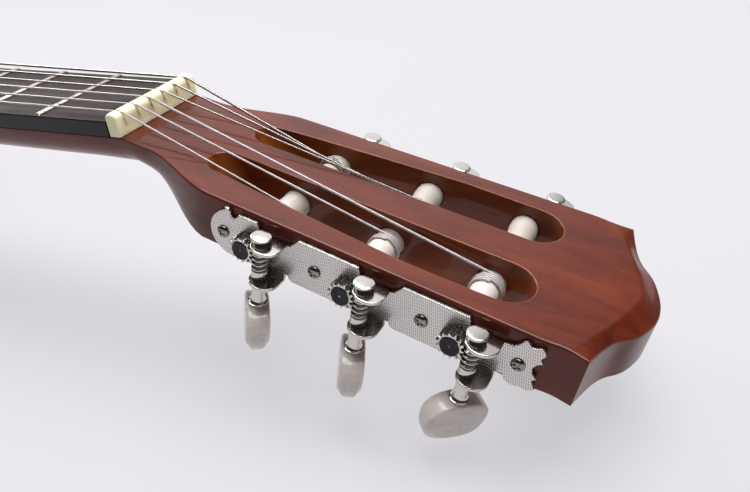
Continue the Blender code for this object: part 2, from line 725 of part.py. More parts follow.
def worm_mesh():
    """The worm's shaft, from the cap down to the end inside the button."""
    rest, collar, ferrule = EAR_TOP + GAP, EAR_BOTTOM - GAP, BUTTON_TOP + MM
    profile = [(CAP_RADIUS, EAR_TOP + 2.5 * MM), (CAP_RADIUS, EAR_TOP + 1.6 * MM)]
    profile += [(CAP_NECK_RADIUS, EAR_TOP + 1.6 * MM), (CAP_NECK_RADIUS, rest), (SHAFT_RADIUS, rest)]
    profile += [(SHAFT_RADIUS, WORM_TOP + 0.4 * MM), (WORM_RADIUS, WORM_TOP + 0.4 * MM)]
    profile += [(WORM_RADIUS, WORM_TOP - 0.2 * MM), (WORM_CORE, WORM_TOP - 0.2 * MM)]
    profile += [(WORM_CORE, WORM_BOTTOM), (WORM_RADIUS, WORM_BOTTOM), (WORM_RADIUS, EAR_BOTTOM + 1.5 * MM)]
    profile += [(SHAFT_RADIUS, EAR_BOTTOM + 1.5 * MM), (SHAFT_RADIUS, collar), (COLLAR_RADIUS, collar)]
    profile += [(COLLAR_RADIUS, ferrule), (FERRULE_RADIUS, ferrule), (FERRULE_RADIUS, BUTTON_TOP + GAP)]
    profile += [(TANG_RADIUS, BUTTON_TOP + GAP), (TANG_RADIUS, BUTTON_TOP - BUTTON_SOCKET)]
    return turned(profile, WORM_SIDES)


def button_mesh():
    """An oval button, thick at its neck and slimmer at its edge."""
    rings = []
    stations = ((0, 0.36, 0.85), (0.1, 0.72, 1), (0.27, 0.95, 0.98), (0.5, 1, 0.86), (0.75, 0.86, 0.76))
    for share, width, depth in stations + ((0.92, 0.58, 0.66), (1, 0.3, 0.5)):
        z = BUTTON_TOP - share * BUTTON_HEIGHT
        ring = []
        for c, s in circle(16):
            a = math.copysign(abs(c) ** 0.8, c) * width * BUTTON_WIDTH / 2
            b = math.copysign(abs(s) ** 0.8, s) * depth * BUTTON_DEPTH / 2
            ring.append((a, b, z))
        rings.append(ring)
    return loft(rings)


def build_tuner(frame, side, place, name, button_turn):
    """One tuner: the cog and roller turn about Y, the worm and its button about Z."""
    p = tuner_place(place)
    axis = (p, 0, -AXIS_DEPTH)
    roller = add(f"string_roller_{name}", roller_mesh(place, side), "white_plastic", frame, axis)
    cog = add(f"cog_{name}", cog_mesh(side), "nickel", frame, axis)
    spot = (p + WORM_OFFSET, side * WORM_OUT, 0)
    worm = add(f"worm_{name}", worm_mesh(), "nickel", frame, spot)
    combine(worm, loft(thread_rings()), "UNION", "thread")
    mesh = button_mesh()
    mesh.transform(Matrix.Rotation(side * button_turn, 4, "Z"))
    button = add(f"button_{name}", mesh, "pearl", frame, spot)
    ends = [(0, 0, BUTTON_TOP + MM), (0, 0, BUTTON_TOP - BUTTON_SOCKET - 0.5 * MM)]
    socket = cylinder(TANG_RADIUS + GAP, *ends, sides=14)
    combine(button, socket, "DIFFERENCE", "socket")
    smooth(roller, button)


# Strings


def string_route(index, head):
    """A string from behind the tie block, over saddle and nut, to the top of its roller."""
    radius = STRING_RADII[index]
    side = 1 if index < 3 else -1
    place = index if index < 3 else 5 - index
    y = string_side(index, STRING_SPREAD_BRIDGE)
    nut_y = string_side(index, STRING_SPREAD_NUT)
    tie_z = BODY_DEPTH + 6 * MM
    rest = BODY_DEPTH + NUT_STRING_REST + radius
    route = [(SADDLE_X - 20 * MM, y, tie_z), (SADDLE_X - 8 * MM, y, tie_z)]
    over = SADDLE_TOP + radius + GAP
    route += [(SADDLE_X - 1.6 * MM, y, over), (SADDLE_X + 1.6 * MM, y, over)]
    route += [(NUT_BACK_X, nut_y, rest + 0.1 * MM), (NUT_FRONT_X, nut_y, rest - 0.2 * MM)]
    forward, rise = (BASS_FORWARD, BASS_RAISE) if side > 0 else (0, 0)
    u = FIRST_TUNER + place * TUNER_PITCH + forward - 0.5 * MM
    w = rise - AXIS_DEPTH + ROLLER_RADIUS + radius + GAP
    route.append(tuple(head.matrix_world @ Vector((u, side * winding_place(place), w))))
    return route, radius


def winding_place(place):
    """How far from the centre line each string meets its roller: the longer ones run nearer the web."""
    return (16.4 * MM, 11.6 * MM, 11.4 * MM)[place]


def build_strings(head):
    for index, name in enumerate(STRING_NAMES):
        route, radius = string_route(index, head)
        curve = bpy.data.curves.new(f"string_{name}", "CURVE")
        curve.dimensions = "3D"
        curve.bevel_depth = radius
        curve.bevel_resolution = 2
        curve.use_fill_caps = True
        spline = curve.splines.new("POLY")
        spline.points.add(len(route) - 1)
        for point, where in zip(spline.points, route):
            point.co = (*where, 1)
        add(f"string_{name}", curve, "wound" if index < 3 else "nylon")


def main():
    build_body()
    build_neck()
    build_fingerboard()
    build_nut()
    build_bridge()
    head = empty("headstock_frame", None, (NUT_FRONT_X, 0, BODY_DEPTH), "Y", HEAD_TILT)
    build_headstock(head)
    for side, name in ((1, "bass"), (-1, "treble")):
        forward, rise = (BASS_FORWARD, BASS_RAISE) if side > 0 else (0, 0)
        half = HEAD_HALF_AT_SHOULDER + forward * math.tan(SIDE_ANGLE)
        place = (HEAD_SHOULDER + forward, side * half, rise)
        frame = empty(f"{name}_side_frame", head, place, "Z", side * SIDE_ANGLE)
        build_plate(frame, side, name)
        build_screws(frame, side, name)
        bore_headstock(frame, side)
        names = STRING_NAMES[:3] if side > 0 else STRING_NAMES[:2:-1]
        for i, string in enumerate(names):
            build_tuner(frame, side, i, string, math.radians(BUTTON_TURNS[side][i]))
    bpy.context.view_layer.update()
    build_strings(head)


clear_scene()
PARTS = collection("classical_guitar")
HELPERS = collection("helpers")
main()
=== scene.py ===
"""Looks of the small classical guitar: camera, light, materials and fine meshes around the CAD frame.

The headstock has a frame of its own: u along it from the nut, v to the bass side and w out of its face.
Each tuner has two more, one on its roller's axis and one on its worm's: X along the headstock, Y along the
roller and Z along the worm.
"""

import json
import math

import bmesh
import bpy
from mathutils import Matrix, Vector


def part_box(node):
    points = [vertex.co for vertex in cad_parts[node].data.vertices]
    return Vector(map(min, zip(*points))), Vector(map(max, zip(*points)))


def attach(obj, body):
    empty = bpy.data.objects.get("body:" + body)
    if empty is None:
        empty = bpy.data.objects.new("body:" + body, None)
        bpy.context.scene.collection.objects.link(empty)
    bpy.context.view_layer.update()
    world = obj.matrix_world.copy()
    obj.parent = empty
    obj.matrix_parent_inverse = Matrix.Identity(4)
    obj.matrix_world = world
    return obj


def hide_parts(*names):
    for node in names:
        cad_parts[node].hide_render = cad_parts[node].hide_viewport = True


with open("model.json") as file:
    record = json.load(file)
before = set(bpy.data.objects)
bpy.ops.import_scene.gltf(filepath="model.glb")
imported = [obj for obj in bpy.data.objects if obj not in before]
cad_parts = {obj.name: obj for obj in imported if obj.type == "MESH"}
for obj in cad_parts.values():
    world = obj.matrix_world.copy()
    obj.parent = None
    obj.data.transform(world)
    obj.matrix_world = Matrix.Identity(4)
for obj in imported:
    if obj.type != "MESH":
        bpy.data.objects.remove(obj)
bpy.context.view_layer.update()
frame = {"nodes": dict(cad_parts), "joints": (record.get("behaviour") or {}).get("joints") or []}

MM = 0.001
WELD = 0.002 * MM
JOINTS = {joint["name"]: joint for joint in frame["joints"]}
BASS = ("E_low", "A", "D")
TREBLE = ("E_high", "B", "G")
STRINGS = ("E_low", "A", "D", "G", "B", "E_high")
STRING_RADII = dict(zip(STRINGS, (0.5 * MM, 0.42 * MM, 0.35 * MM, 0.45 * MM, 0.38 * MM, 0.33 * MM)))

# Places read from the frame
TOP_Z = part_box("soundboard")[1].z
NUT_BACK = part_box("nut")[0].x
NUT_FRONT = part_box("nut")[1].x
NUT_WIDTH = 2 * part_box("nut")[1].y
BODY_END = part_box("soundboard")[1].x
BODY_DEPTH = TOP_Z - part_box("back_plate")[0].z
SADDLE_X = (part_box("saddle")[0].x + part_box("saddle")[1].x) / 2
SADDLE_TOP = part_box("saddle")[1].z
SCALE_LENGTH = NUT_BACK - SADDLE_X
BOARD_TOP = TOP_Z + 5.6 * MM
UP = Vector(JOINTS["button_turn_A"]["axis"])
TILT = math.atan2(UP.x, UP.z)
HEAD = Matrix.Translation((NUT_FRONT, 0, TOP_Z)) @ Matrix.Rotation(TILT, 4, "Y")

# The headstock and neck
HEAD_THICKNESS = 18.1 * MM
SHOULDER = 40 * MM
SIDE_END = 150 * MM
CORNER = 164.2 * MM
APEX = 180.2 * MM
APEX_ROUND = 8 * MM
HALF_AT_SHOULDER = 31.2 * MM
HALF_AT_CORNER = 36.3 * MM
SIDE_SLOPE = (HALF_AT_CORNER - HALF_AT_SHOULDER) / (CORNER - SHOULDER)
EDGE = 0.9 * MM
SLOT_EDGE = 0.5 * MM
SLOT_START = 29.5 * MM
SLOT_RAMP = 18.9 * MM
SLOT_END = 144 * MM
BASS_SHIFT = 2.5 * MM
NECK_DEPTH = 14.2 * MM
NECK_FULLNESS = 0.92
NECK_EDGE = 0.4 * MM
ROOT_THICKENING = 0.6 * MM
HEEL_LENGTH = 46 * MM
BOARD_WIDENING = 0.0165
FRETS = 19

# The sound box
PANEL = 2.5 * MM
SADDLE_RADIUS = 1.45 * MM

# The tuners
PITCH = 35.03 * MM
AXIS_DEPTH = 10.2 * MM
UPPER_EAR = -4.9 * MM
LOWER_EAR = -19.3 * MM
EAR_THICKNESS = 1.1 * MM
PLATE_FACE = 1.5 * MM
COG_TEETH = 14
WORM_LEAD = 2 * math.pi * 4 * MM / COG_TEETH
BUTTON_TOP = -28.4 * MM
BUTTON_HEIGHT = 16 * MM
BUTTON_WIDTH = 20.5 * MM
BUTTON_SQUARE = 0.85
BUTTON_TURNS = {1: (78, 82, 70), -1: (53, 63, 134)}
ENGRAVED_ROW = 1.15 * MM
ENGRAVED_STEP = 0.66 * MM
ENGRAVED_WAVE = 7.5 * MM

# The strings
NUT_SPREAD = 34.6 * MM
BRIDGE_SPREAD = 56 * MM
GROOVE_HEIGHT = 7.2 * MM
COIL_STEPS = 28

FLOOR_GLOW = 0.6


# Meshes


def in_mm(points, shift=0.0):
    """Points given in millimetres, moved along X."""
    return [(shift + x * MM, y * MM) for x, y in points]


def added(name, data, place=None):
    """An object in the scene."""
    obj = bpy.data.objects.new(name, data)
    bpy.context.scene.collection.objects.link(obj)
    if place:
        obj.matrix_world = place
    return obj


def finish_mesh(bm, angle=35):
    bmesh.ops.remove_doubles(bm, verts=bm.verts, dist=WELD)
    bmesh.ops.recalc_face_normals(bm, faces=bm.faces)
    if bm.calc_volume(signed=True) < 0:
        bmesh.ops.reverse_faces(bm, faces=bm.faces)
    mesh = bpy.data.meshes.new("mesh")
    bm.to_mesh(mesh)
    bm.free()
    mesh.shade_smooth()
    mesh.set_sharp_from_angle(angle=math.radians(angle))
    return mesh


def stitched(rings, closed):
    """A surface through rings of points, and the rings' vertices; closed joins each ring's ends."""
    bm = bmesh.new()
    loops = [[bm.verts.new(p) for p in ring] for ring in rings]
    for a, b in zip(loops, loops[1:]):
        for i in range(len(a) if closed else len(a) - 1):
            j = (i + 1) % len(a)
            bm.faces.new((a[i], a[j], b[j], b[i]))
    return bm, loops


def skin(rings, angle=35):
    """A solid through rings of points, with a cap at each end."""
    bm, loops = stitched(rings, True)
    bm.faces.new(loops[0])
    bm.faces.new(loops[-1])
    return finish_mesh(bm, angle)


def block(place, *size):
    """A box of a size in X, Y and Z, about its middle."""
    bm = bmesh.new()
    bmesh.ops.create_cube(bm, size=1)
    bm.transform(place @ Matrix.Diagonal((*size, 1)))
    return finish_mesh(bm)


def circle(count):
    for i in range(count):
        angle = 2 * math.pi * i / count
        yield math.cos(angle), math.sin(angle)


def turned(profile, count=40, side=0):
    """A solid from (radius, distance) pairs in mm, turned about Z or, with a side, about Y towards it."""
    if side:
        return skin([[(r * c, side * d, r * s) for c, s in circle(count)] for r, d in in_mm(profile)])
    return skin([[(r * c, r * s, d) for c, s in circle(count)] for r, d in in_mm(profile)])


def arc(centre, radius, start, end, count):
    """Points on an arc, angles in degrees."""
    points = []
    for i in range(count + 1):
        angle = math.radians(start + (end - start) * i / count)
        points.append((centre[0] + radius * math.cos(angle), centre[1] + radius * math.sin(angle)))
    return points


def to_mesh(data):
    """The mesh of a curve, welded."""
    holder = added("holder", data)
    graph = bpy.context.evaluated_depsgraph_get()
    bm = bmesh.new()
    bm.from_mesh(bpy.data.meshes.new_from_object(holder.evaluated_get(graph)))
    bpy.data.objects.remove(holder)
    return finish_mesh(bm, 40)


def flat(outlines, low, high, bevel=0.0, steps=2):
    """A plate in XY between two heights with rounded edges; outlines after the first are holes."""
    curve = bpy.data.curves.new("outline", "CURVE")
    curve.dimensions = "2D"
    curve.fill_mode = "BOTH"
    curve.extrude = (high - low) / 2 - bevel
    curve.bevel_depth = bevel
    curve.bevel_resolution = steps
    curve.offset = -bevel
    for outline in outlines:
        spline = curve.splines.new("POLY")
        spline.points.add(len(outline) - 1)
        for point, (x, y) in zip(spline.points, outline):
            point.co = (x, y, 0, 1)
        spline.use_cyclic_u = True
    mesh = to_mesh(curve)
    mesh.transform(Matrix.Translation((0, 0, (low + high) / 2)))
    return mesh


def tube(points, radius, sides=4):
    """A round wire through points."""
    curve = bpy.data.curves.new("wire", "CURVE")
    curve.dimensions = "3D"
    curve.bevel_depth = radius
    curve.bevel_resolution = sides
    curve.use_fill_caps = True
    spline = curve.splines.new("POLY")
    spline.points.add(len(points) - 1)
    for point, where in zip(spline.points, points):
        point.co = (*where, 1)
    return to_mesh(curve)


def joined(*meshes):
    bm = bmesh.new()
    for mesh in meshes:
        bm.from_mesh(mesh)
    return finish_mesh(bm)


def carve(mesh, tools, angle=35):
    """The mesh with each tool cut out of it; tools keep their materials on the cut."""
    base, *helpers = (added("scratch", shape) for shape in (mesh, *tools))
    for helper in helpers:
        modifier = base.modifiers.new("cut", "BOOLEAN")
        modifier.object = helper
        modifier.material_mode = "TRANSFER"
    graph = bpy.context.evaluated_depsgraph_get()
    made = bpy.data.meshes.new_from_object(base.evaluated_get(graph))
    for obj in (base, *helpers):
        bpy.data.objects.remove(obj)
    made.shade_smooth()
    made.set_sharp_from_angle(angle=math.radians(angle))
    return made


def piece(name, mesh, look, slot, body="guitar", place=None, stands_for=(), even=False):
    """A finished piece that rides on a body."""
    obj = added(name, mesh, place)
    if look:
        mesh.materials.clear()
        mesh.materials.append(look)
    if even:
        modifier = obj.modifiers.new("even", "WEIGHTED_NORMAL")
        modifier.keep_sharp = True
    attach(obj, body)
    if stands_for:
        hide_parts(*stands_for)


# Materials


class Look:
    """A material and short ways to add nodes to it."""

    def __init__(self, name, **values):
        self.material = bpy.data.materials.new(name)
        self.material.use_nodes = True
        self.tree = self.material.node_tree
        self.shader = self.tree.nodes["Principled BSDF"]
        for key, value in values.items():
            socket = self.shader.inputs[key.replace("_", " ")]
            socket.default_value = (*value, 1) if isinstance(value, tuple) else value

    def node(self, kind, **settings):
        made = self.tree.nodes.new(kind)
        for key, value in settings.items():
            if key in made.inputs:
                made.inputs[key].default_value = value
            else:
                setattr(made, key, value)
        return made

    def link(self, source, target):
        self.tree.links.new(source, target)

    def place(self, scale):
        """The object's own coordinates, stretched."""
        coordinates = self.node("ShaderNodeTexCoord")
        mapping = self.node("ShaderNodeMapping", Scale=scale)
        self.link(coordinates.outputs["Object"], mapping.inputs["Vector"])
        return mapping.outputs["Vector"]

    def math(self, kind, first, second=0.0):
        made = self.node("ShaderNodeMath", operation=kind)
        for socket, value in zip(made.inputs, (first, second)):
            if hasattr(value, "is_output"):
                self.link(value, socket)
            else:
                socket.default_value = value
        return made.outputs[0]

    def noise(self, scale, detail=4, distortion=0.0):
        made = self.node("ShaderNodeTexNoise", Scale=1, Detail=detail, Distortion=distortion)
        self.link(self.place(scale), made.inputs["Vector"])
        return made.outputs["Fac"]

    def ramp(self, source, *stops):
        """Colours by value: stops are (position, colour)."""
        made = self.node("ShaderNodeValToRGB")
        elements = made.color_ramp.elements
        for _ in stops[2:]:
            elements.new(0.5)
        for element, (position, colour) in zip(elements, stops):
            element.position = position
            element.color = (*colour, 1) if isinstance(colour, tuple) else (colour, colour, colour, 1)
        self.link(source, made.inputs["Fac"])
        return made.outputs["Color"]

    def mix(self, kind, amount, first, second):
        made = self.node("ShaderNodeMix", data_type="RGBA", blend_type=kind)
        factor, a, b = made.inputs[0], made.inputs[6], made.inputs[7]
        for socket, value in ((factor, amount), (a, first), (b, second)):
            if hasattr(value, "is_output"):
                self.link(value, socket)
            else:
                socket.default_value = (*value, 1) if isinstance(value, tuple) else value
        return made.outputs[2]

    def colour(self, source):
        self.link(source, self.shader.inputs["Base Color"])

    def rough(self, source):
        self.link(source, self.shader.inputs["Roughness"])

    def clouded(self, cloud, dark, pale, smooth=None, dull=None):
        """Colour, and roughness if given, that follow a noise."""
        self.colour(self.ramp(cloud, (0.3, dark), (0.7, pale)))
        if smooth:
            self.rough(self.ramp(cloud, (0.3, smooth), (0.7, dull)))

    def bump(self, source, distance, strength):
        made = self.node("ShaderNodeBump", Distance=distance, Strength=strength)
        self.link(source, made.inputs["Height"])
        self.link(made.outputs["Normal"], self.shader.inputs["Normal"])


def grained_wood(name, deep, mid, pale, gloss=0.45):
    """Wood with its grain along X: soft bands, flowing darker streaks and short pores, under lacquer."""
    look = Look(name, Coat_Weight=gloss, Coat_Roughness=0.03, Coat_IOR=1.5, Specular_IOR_Level=0.12)
    bands = look.noise((9, 130, 130), detail=5, distortion=0.6)
    colour = look.ramp(bands, (0.28, deep), (0.5, mid), (0.75, pale))
    cloud = look.noise((14, 40, 40), detail=2)
    colour = look.mix("MULTIPLY", 0.55, colour, look.ramp(cloud, (0.3, 0.72), (0.7, 1.0)))
    streaks = look.noise((7, 75, 75), detail=3, distortion=1.6)
    colour = look.mix("MULTIPLY", 0.5, colour, look.ramp(streaks, (0.33, 0.55), (0.45, 1.0)))
    pores = look.noise((120, 2600, 2600), detail=2)
    dots = look.ramp(pores, (0.33, 0.82), (0.45, 1.0))
    look.colour(look.mix("MULTIPLY", 1.0, colour, dots))
    look.rough(look.ramp(bands, (0.2, 0.45), (0.8, 0.3)))
    look.bump(dots, 0.02 * MM, 0.6)
    return look.material


def nickel(name, tone, rough):
    look = Look(name, Metallic=1.0)
    cloud = look.noise((900, 900, 900), detail=3)
    look.clouded(cloud, tuple(c * 0.92 for c in tone), tone, rough, rough + 0.06)
    return look


def engraved_nickel():
    """Nickel with rows of short cuts across it, each row shifted along a slow zigzag."""
    look = nickel("engraved_nickel", (0.72, 0.68, 0.655), 0.24)
    parts = look.node("ShaderNodeSeparateXYZ")
    look.link(look.place((1, 1, 1)), parts.inputs[0])
    along, up = parts.outputs["X"], parts.outputs["Z"]
    wave = look.math("SINE", look.math("MULTIPLY", along, 2 * math.pi / ENGRAVED_WAVE))
    row = look.math("ADD", look.math("MULTIPLY", up, 1 / ENGRAVED_ROW), look.math("MULTIPLY", wave, 0.3))
    lean = look.math("MULTIPLY", look.math("FLOOR", row), 0.37)
    step = look.math("FRACT", look.math("ADD", look.math("MULTIPLY", along, 1 / ENGRAVED_STEP), lean))
    dash = look.ramp(look.math("PINGPONG", step, 0.5), (0.2, 0.0), (0.32, 1.0))
    gap = look.ramp(look.math("PINGPONG", row, 0.5), (0.06, 0.0), (0.16, 1.0))
    cuts = look.mix("MULTIPLY", 1.0, dash, gap)
    look.bump(cuts, -0.05 * MM, 0.6)
    base = look.shader.inputs["Base Color"].links[0].from_socket
    # The cuts are also darker in colour: painted shade in the grooves.
    look.colour(look.mix("MULTIPLY", 1.0, base, look.ramp(cuts, (0.1, 1.0), (0.9, 0.52))))
    return look.material


def plastic(name, colour, rough, cloud_amount, subsurface, scale, coat):
    depth = {"Subsurface_Weight": subsurface, "Subsurface_Scale": 1.5 * MM}
    look = Look(name, Coat_Weight=coat, Coat_Roughness=0.05, **depth)
    look.shader.inputs["Subsurface Radius"].default_value = (1, 0.9, 0.8)
    cloud = look.noise((scale, scale, scale * 2), detail=5, distortion=1.2)
    dark = tuple(c * (1 - cloud_amount * 3) for c in colour)
    look.colour(look.ramp(cloud, (0.35, dark), (0.65, colour)))
    look.rough(look.ramp(cloud, (0.3, rough), (0.7, rough + 0.08)))
    return look


def pearl_plastic():
    look = plastic("pearl_button", (0.68, 0.6, 0.56), 0.3, 0.05, 0.25, 140, 0.5)
    swirl = look.noise((90, 90, 260), detail=3, distortion=3)
    base = look.shader.inputs["Base Color"].links[0].from_socket
    look.colour(look.mix("SCREEN", 0.12, base, look.ramp(swirl, (0.4, 0.0), (0.6, 1.0))))
    look.shader.inputs["Sheen Weight"].default_value = 0.15
    return look.material


def bone():
    look = plastic("cream_nut", (1.0, 0.9, 0.57), 0.42, 0.01, 0.2, 200, 0.2)
    look.bump(look.noise((300, 2200, 300)), 0.02 * MM, 0.5)
    return look.material


def wound_metal():
    """Silver wire wound across the string."""
    look = Look("wound_string", Metallic=1.0, Roughness=0.24)
    turns = look.node("ShaderNodeTexWave", Scale=1.0, bands_direction="X")
    look.link(look.place((1250, 0, 0)), turns.inputs["Vector"])
    look.bump(turns.outputs["Color"], 0.08 * MM, 0.9)
    # The grooves between the turns are darker in colour: painted shade.
    look.colour(look.ramp(turns.outputs["Color"], (0.0, (0.3, 0.27, 0.25)), (0.6, (0.68, 0.63, 0.6))))
    return look.material


def nylon():
    look = Look("nylon_string", Roughness=0.12, IOR=1.5, Transmission_Weight=0.3, Coat_Weight=0.5)
    look.clouded(look.noise((60, 900, 900), detail=2), (0.62, 0.56, 0.58), (0.78, 0.72, 0.74))
    return look.material


def dark_board():
    """Dark open-grained wood, unlacquered on top, with short pores along X."""
    look = Look("fingerboard_wood", Specular_IOR_Level=0.08)
    bands = look.noise((12, 170, 170), detail=4, distortion=0.4)
    colour = look.ramp(bands, (0.3, (0.022, 0.014, 0.012)), (0.7, (0.048, 0.034, 0.03)))
    pores = look.noise((90, 2200, 400), detail=2)
    dots = look.ramp(pores, (0.4, 0.35), (0.5, 1.0))
    look.colour(look.mix("MULTIPLY", 0.9, colour, dots))
    look.rough(look.ramp(bands, (0.2, 0.6), (0.8, 0.48)))
    look.bump(dots, 0.06 * MM, 0.7)
    return look.material


def board_edge():
    """The fingerboard's polished black sides."""
    look = Look("board_edge_black", Specular_IOR_Level=0.3)
    cloud = look.noise((20, 300, 300), detail=3)
    look.clouded(cloud, (0.006, 0.005, 0.005), (0.014, 0.011, 0.011), 0.12, 0.2)
    return look.material


def spruce():
    """Straight-grained top: pale wood with evenly spaced darker lines along X."""
    look = Look("spruce_top", Coat_Weight=0.3, Coat_Roughness=0.15, Specular_IOR_Level=0.3)
    lines = look.node("ShaderNodeTexWave", Scale=1.0, Distortion=1.2, Detail=2, bands_direction="Y")
    lines.inputs["Detail Scale"].default_value = 0.4
    look.link(look.place((6, 140, 6)), lines.inputs["Vector"])
    stops = (0.0, (0.46, 0.25, 0.095)), (0.35, (0.6, 0.37, 0.165)), (1.0, (0.64, 0.41, 0.19))
    colour = look.ramp(lines.outputs["Color"], *stops)
    silk = look.noise((220, 30, 30), detail=3)
    look.colour(look.mix("MULTIPLY", 0.3, colour, look.ramp(silk, (0.3, 0.8), (0.7, 1.0))))
    look.rough(look.ramp(silk, (0.3, 0.4), (0.7, 0.3)))
    return look.material


def raw_wood():
    look = Look("raw_wood", Roughness=0.75)
    look.clouded(look.noise((12, 160, 160)), (0.4, 0.24, 0.12), (0.62, 0.42, 0.24))
    look.bump(look.noise((60, 1500, 1500), detail=2), 0.1 * MM, 0.5)
    return look.material


def mosaic():
    """The rosette: a ring of small inlaid blocks between dark and pale lines."""
    look = Look("rosette_inlay", Coat_Weight=0.3, Coat_Roughness=0.15, Roughness=0.4)
    checks = look.node("ShaderNodeTexVoronoi", Scale=1.0)
    look.link(look.place((620, 620, 620)), checks.inputs["Vector"])
    stops = (0.25, (0.05, 0.02, 0.012)), (0.5, (0.3, 0.1, 0.03)), (0.75, (0.7, 0.45, 0.2))
    look.colour(look.ramp(checks.outputs["Color"], *stops))
    return look.material


def blackened():
    look = Look("black_screw", Roughness=0.3, Specular_IOR_Level=0.25)
    look.clouded(look.noise((500, 500, 500), detail=3), (0.004, 0.004, 0.008), (0.01, 0.01, 0.017))
    return look.material


def pale_floor():
    """A floor that glows a little, as the photo's backdrop is lit on its own."""
    glow = {"Emission_Color": (0.93, 0.92, 0.96), "Emission_Strength": FLOOR_GLOW}
    look = Look("pale_floor", Roughness=0.9, **glow)
    look.clouded(look.noise((3, 3, 3), detail=2), (0.14, 0.135, 0.145), (0.15, 0.145, 0.155))
    return look.material


# Headstock and neck


def smooth_step(value, low, high):
    t = min(max((value - low) / (high - low), 0), 1)
    return t * t * (3 - 2 * t)


def board_half(x):
    """Half the fingerboard's width."""
    return NUT_WIDTH / 2 + (NUT_BACK - x) * BOARD_WIDENING


def head_half(u):
    """Half the headstock's width up to the pinch before its tip."""
    if u < SHOULDER:
        t = min(max((u - 10 * MM) / (SHOULDER - 10 * MM), 0), 1)
        return NUT_WIDTH / 2 + (HALF_AT_SHOULDER - NUT_WIDTH / 2) * t * t * (2.6 - 1.6 * t)
    return HALF_AT_SHOULDER + (u - SHOULDER) * SIDE_SLOPE


def tip_outline():
    """The bass half of the tip: a slight pinch, a sharp corner and a bracket-shaped end."""
    points = []
    for u, pinch in ((152, 0.1), (154, 0.3), (156, 0.6), (158, 0.7), (160, 0.6), (162, 0.3), (163.4, 0.1)):
        points.append((u * MM, head_half(u * MM) - pinch * MM))
    for i in range(25):
        t = i / 24
        v = HALF_AT_CORNER * (1 - t - 0.085 * math.sin(2 * math.pi * t))
        near = max(1 - v / APEX_ROUND, 0)
        points.append((CORNER + (APEX - CORNER) * t - 1.1 * MM * near**2, v))
    return points


def crease_distance(u, v):
    """How far from the tip's ray centre the bevel starts, on the ray through an outline point."""
    reach = math.hypot(u - SIDE_END, v)
    low, high = 0.0, 1.0
    for _ in range(30):
        middle = (low + high) / 2
        side = abs(v) * middle / (36 * MM)
        inside = SIDE_END + (u - SIDE_END) * middle < 172.5 * MM - 14.5 * MM * side**1.35
        low, high = (middle, high) if inside else (low, middle)
    return reach * low


def half_section(reach, depth, square, rim, crease=None, drop=0.0):
    """Half a section, from mid top round to mid bottom: (distance out, height)."""
    flat_to = reach - rim
    curved = 1 - square
    fold = min(crease, flat_to - 0.2 * MM) if crease else flat_to * 0.8
    points = [(0, 0), (fold * 0.5, 0), (fold - 0.6 * MM, 0), (fold, -0.04 * drop)]
    points += [(fold + (flat_to - fold) * s, -drop * s) for s in (0.2, 0.6, 1.0)]
    for step in (1, 2, 3, 4):
        a = math.radians(22.5 * step)
        points.append((flat_to + rim * math.sin(a), -drop - rim * (1 - math.cos(a))))
    boxy = [(reach, -drop - rim - (depth - 2 * rim - drop) * s) for s in (0.35, 0.7)]
    for step in range(5):
        a = math.radians(22.5 * step)
        boxy.append((flat_to + rim * math.cos(a), rim - depth - rim * math.sin(a)))
    boxy += [(flat_to * 0.66, -depth), (flat_to * 0.33, -depth), (0, -depth)]
    for i, (out, height) in enumerate(boxy):
        a = math.radians(90 * (i + 1) / len(boxy))
        round_out = reach * abs(math.cos(a)) ** NECK_FULLNESS if i + 1 < len(boxy) else 0
        round_height = -depth * math.sin(a) ** NECK_FULLNESS
        points.append((out * square + round_out * curved, height * square + round_height * curved))
    return points


def placed(points, origin, out, up):
    return [origin + out * r + up * h for r, h in points]


def neck_lean(u):
    """How far the sections have turned from the neck's to the headstock's, by mm from the nut."""
    return TILT * smooth_step(u, -20, 18)


def neck_stations():
    """(origin, lean, half width, depth, squareness, rim) from the heel to the start of the tip."""
    stations = []
    start = BODY_END + 0.3 * MM
    root_depth = NECK_DEPTH + ROOT_THICKENING
    for i in range(17):
        share = 1 - i / 16
        x = start + HEEL_LENGTH * (i / 16) ** 1.5
        depth = NECK_DEPTH + (BODY_DEPTH - PANEL - NECK_DEPTH) * share**1.7
        stations.append((Vector((x, 0, TOP_Z)), 0.0, board_half(x), depth, 0.0, NECK_EDGE))
    span = NUT_FRONT - 22 * MM - start - HEEL_LENGTH
    for i in range(1, 13):
        x = start + HEEL_LENGTH + span * i / 12
        stations.append((Vector((x, 0, TOP_Z)), 0.0, board_half(x), NECK_DEPTH, 0.0, NECK_EDGE))
    for back in (16, 11, 6.5, 3):
        x = NUT_FRONT - back * MM
        depth = NECK_DEPTH + ROOT_THICKENING * smooth_step(-back, -20, 0)
        half = board_half(min(x, NUT_BACK))
        stations.append((Vector((x, 0, TOP_Z)), neck_lean(-back), half, depth, 0.0, NECK_EDGE))
    for u in (0.0, 3, 6, 9, 12, 15, 18, 21, 24, 27, 30, 33, 36, 39, 42, 46, 52):
        square = smooth_step(u, 8, 42)
        depth = root_depth + (HEAD_THICKNESS - root_depth) * smooth_step(u, 0, 30)
        depth += 1.6 * MM * math.sin(math.pi * min(max(u - 4, 0) / 38, 1))
        rim = NECK_EDGE + (EDGE - NECK_EDGE) * square
        origin = HEAD @ Vector((u * MM, 0, 0))
        stations.append((origin, neck_lean(u), head_half(u * MM), depth, square, rim))
    for u in range(60, 151, 10):
        stations.append((HEAD @ Vector((u * MM, 0, 0)), TILT, head_half(u * MM), HEAD_THICKNESS, 1.0, EDGE))
    return stations


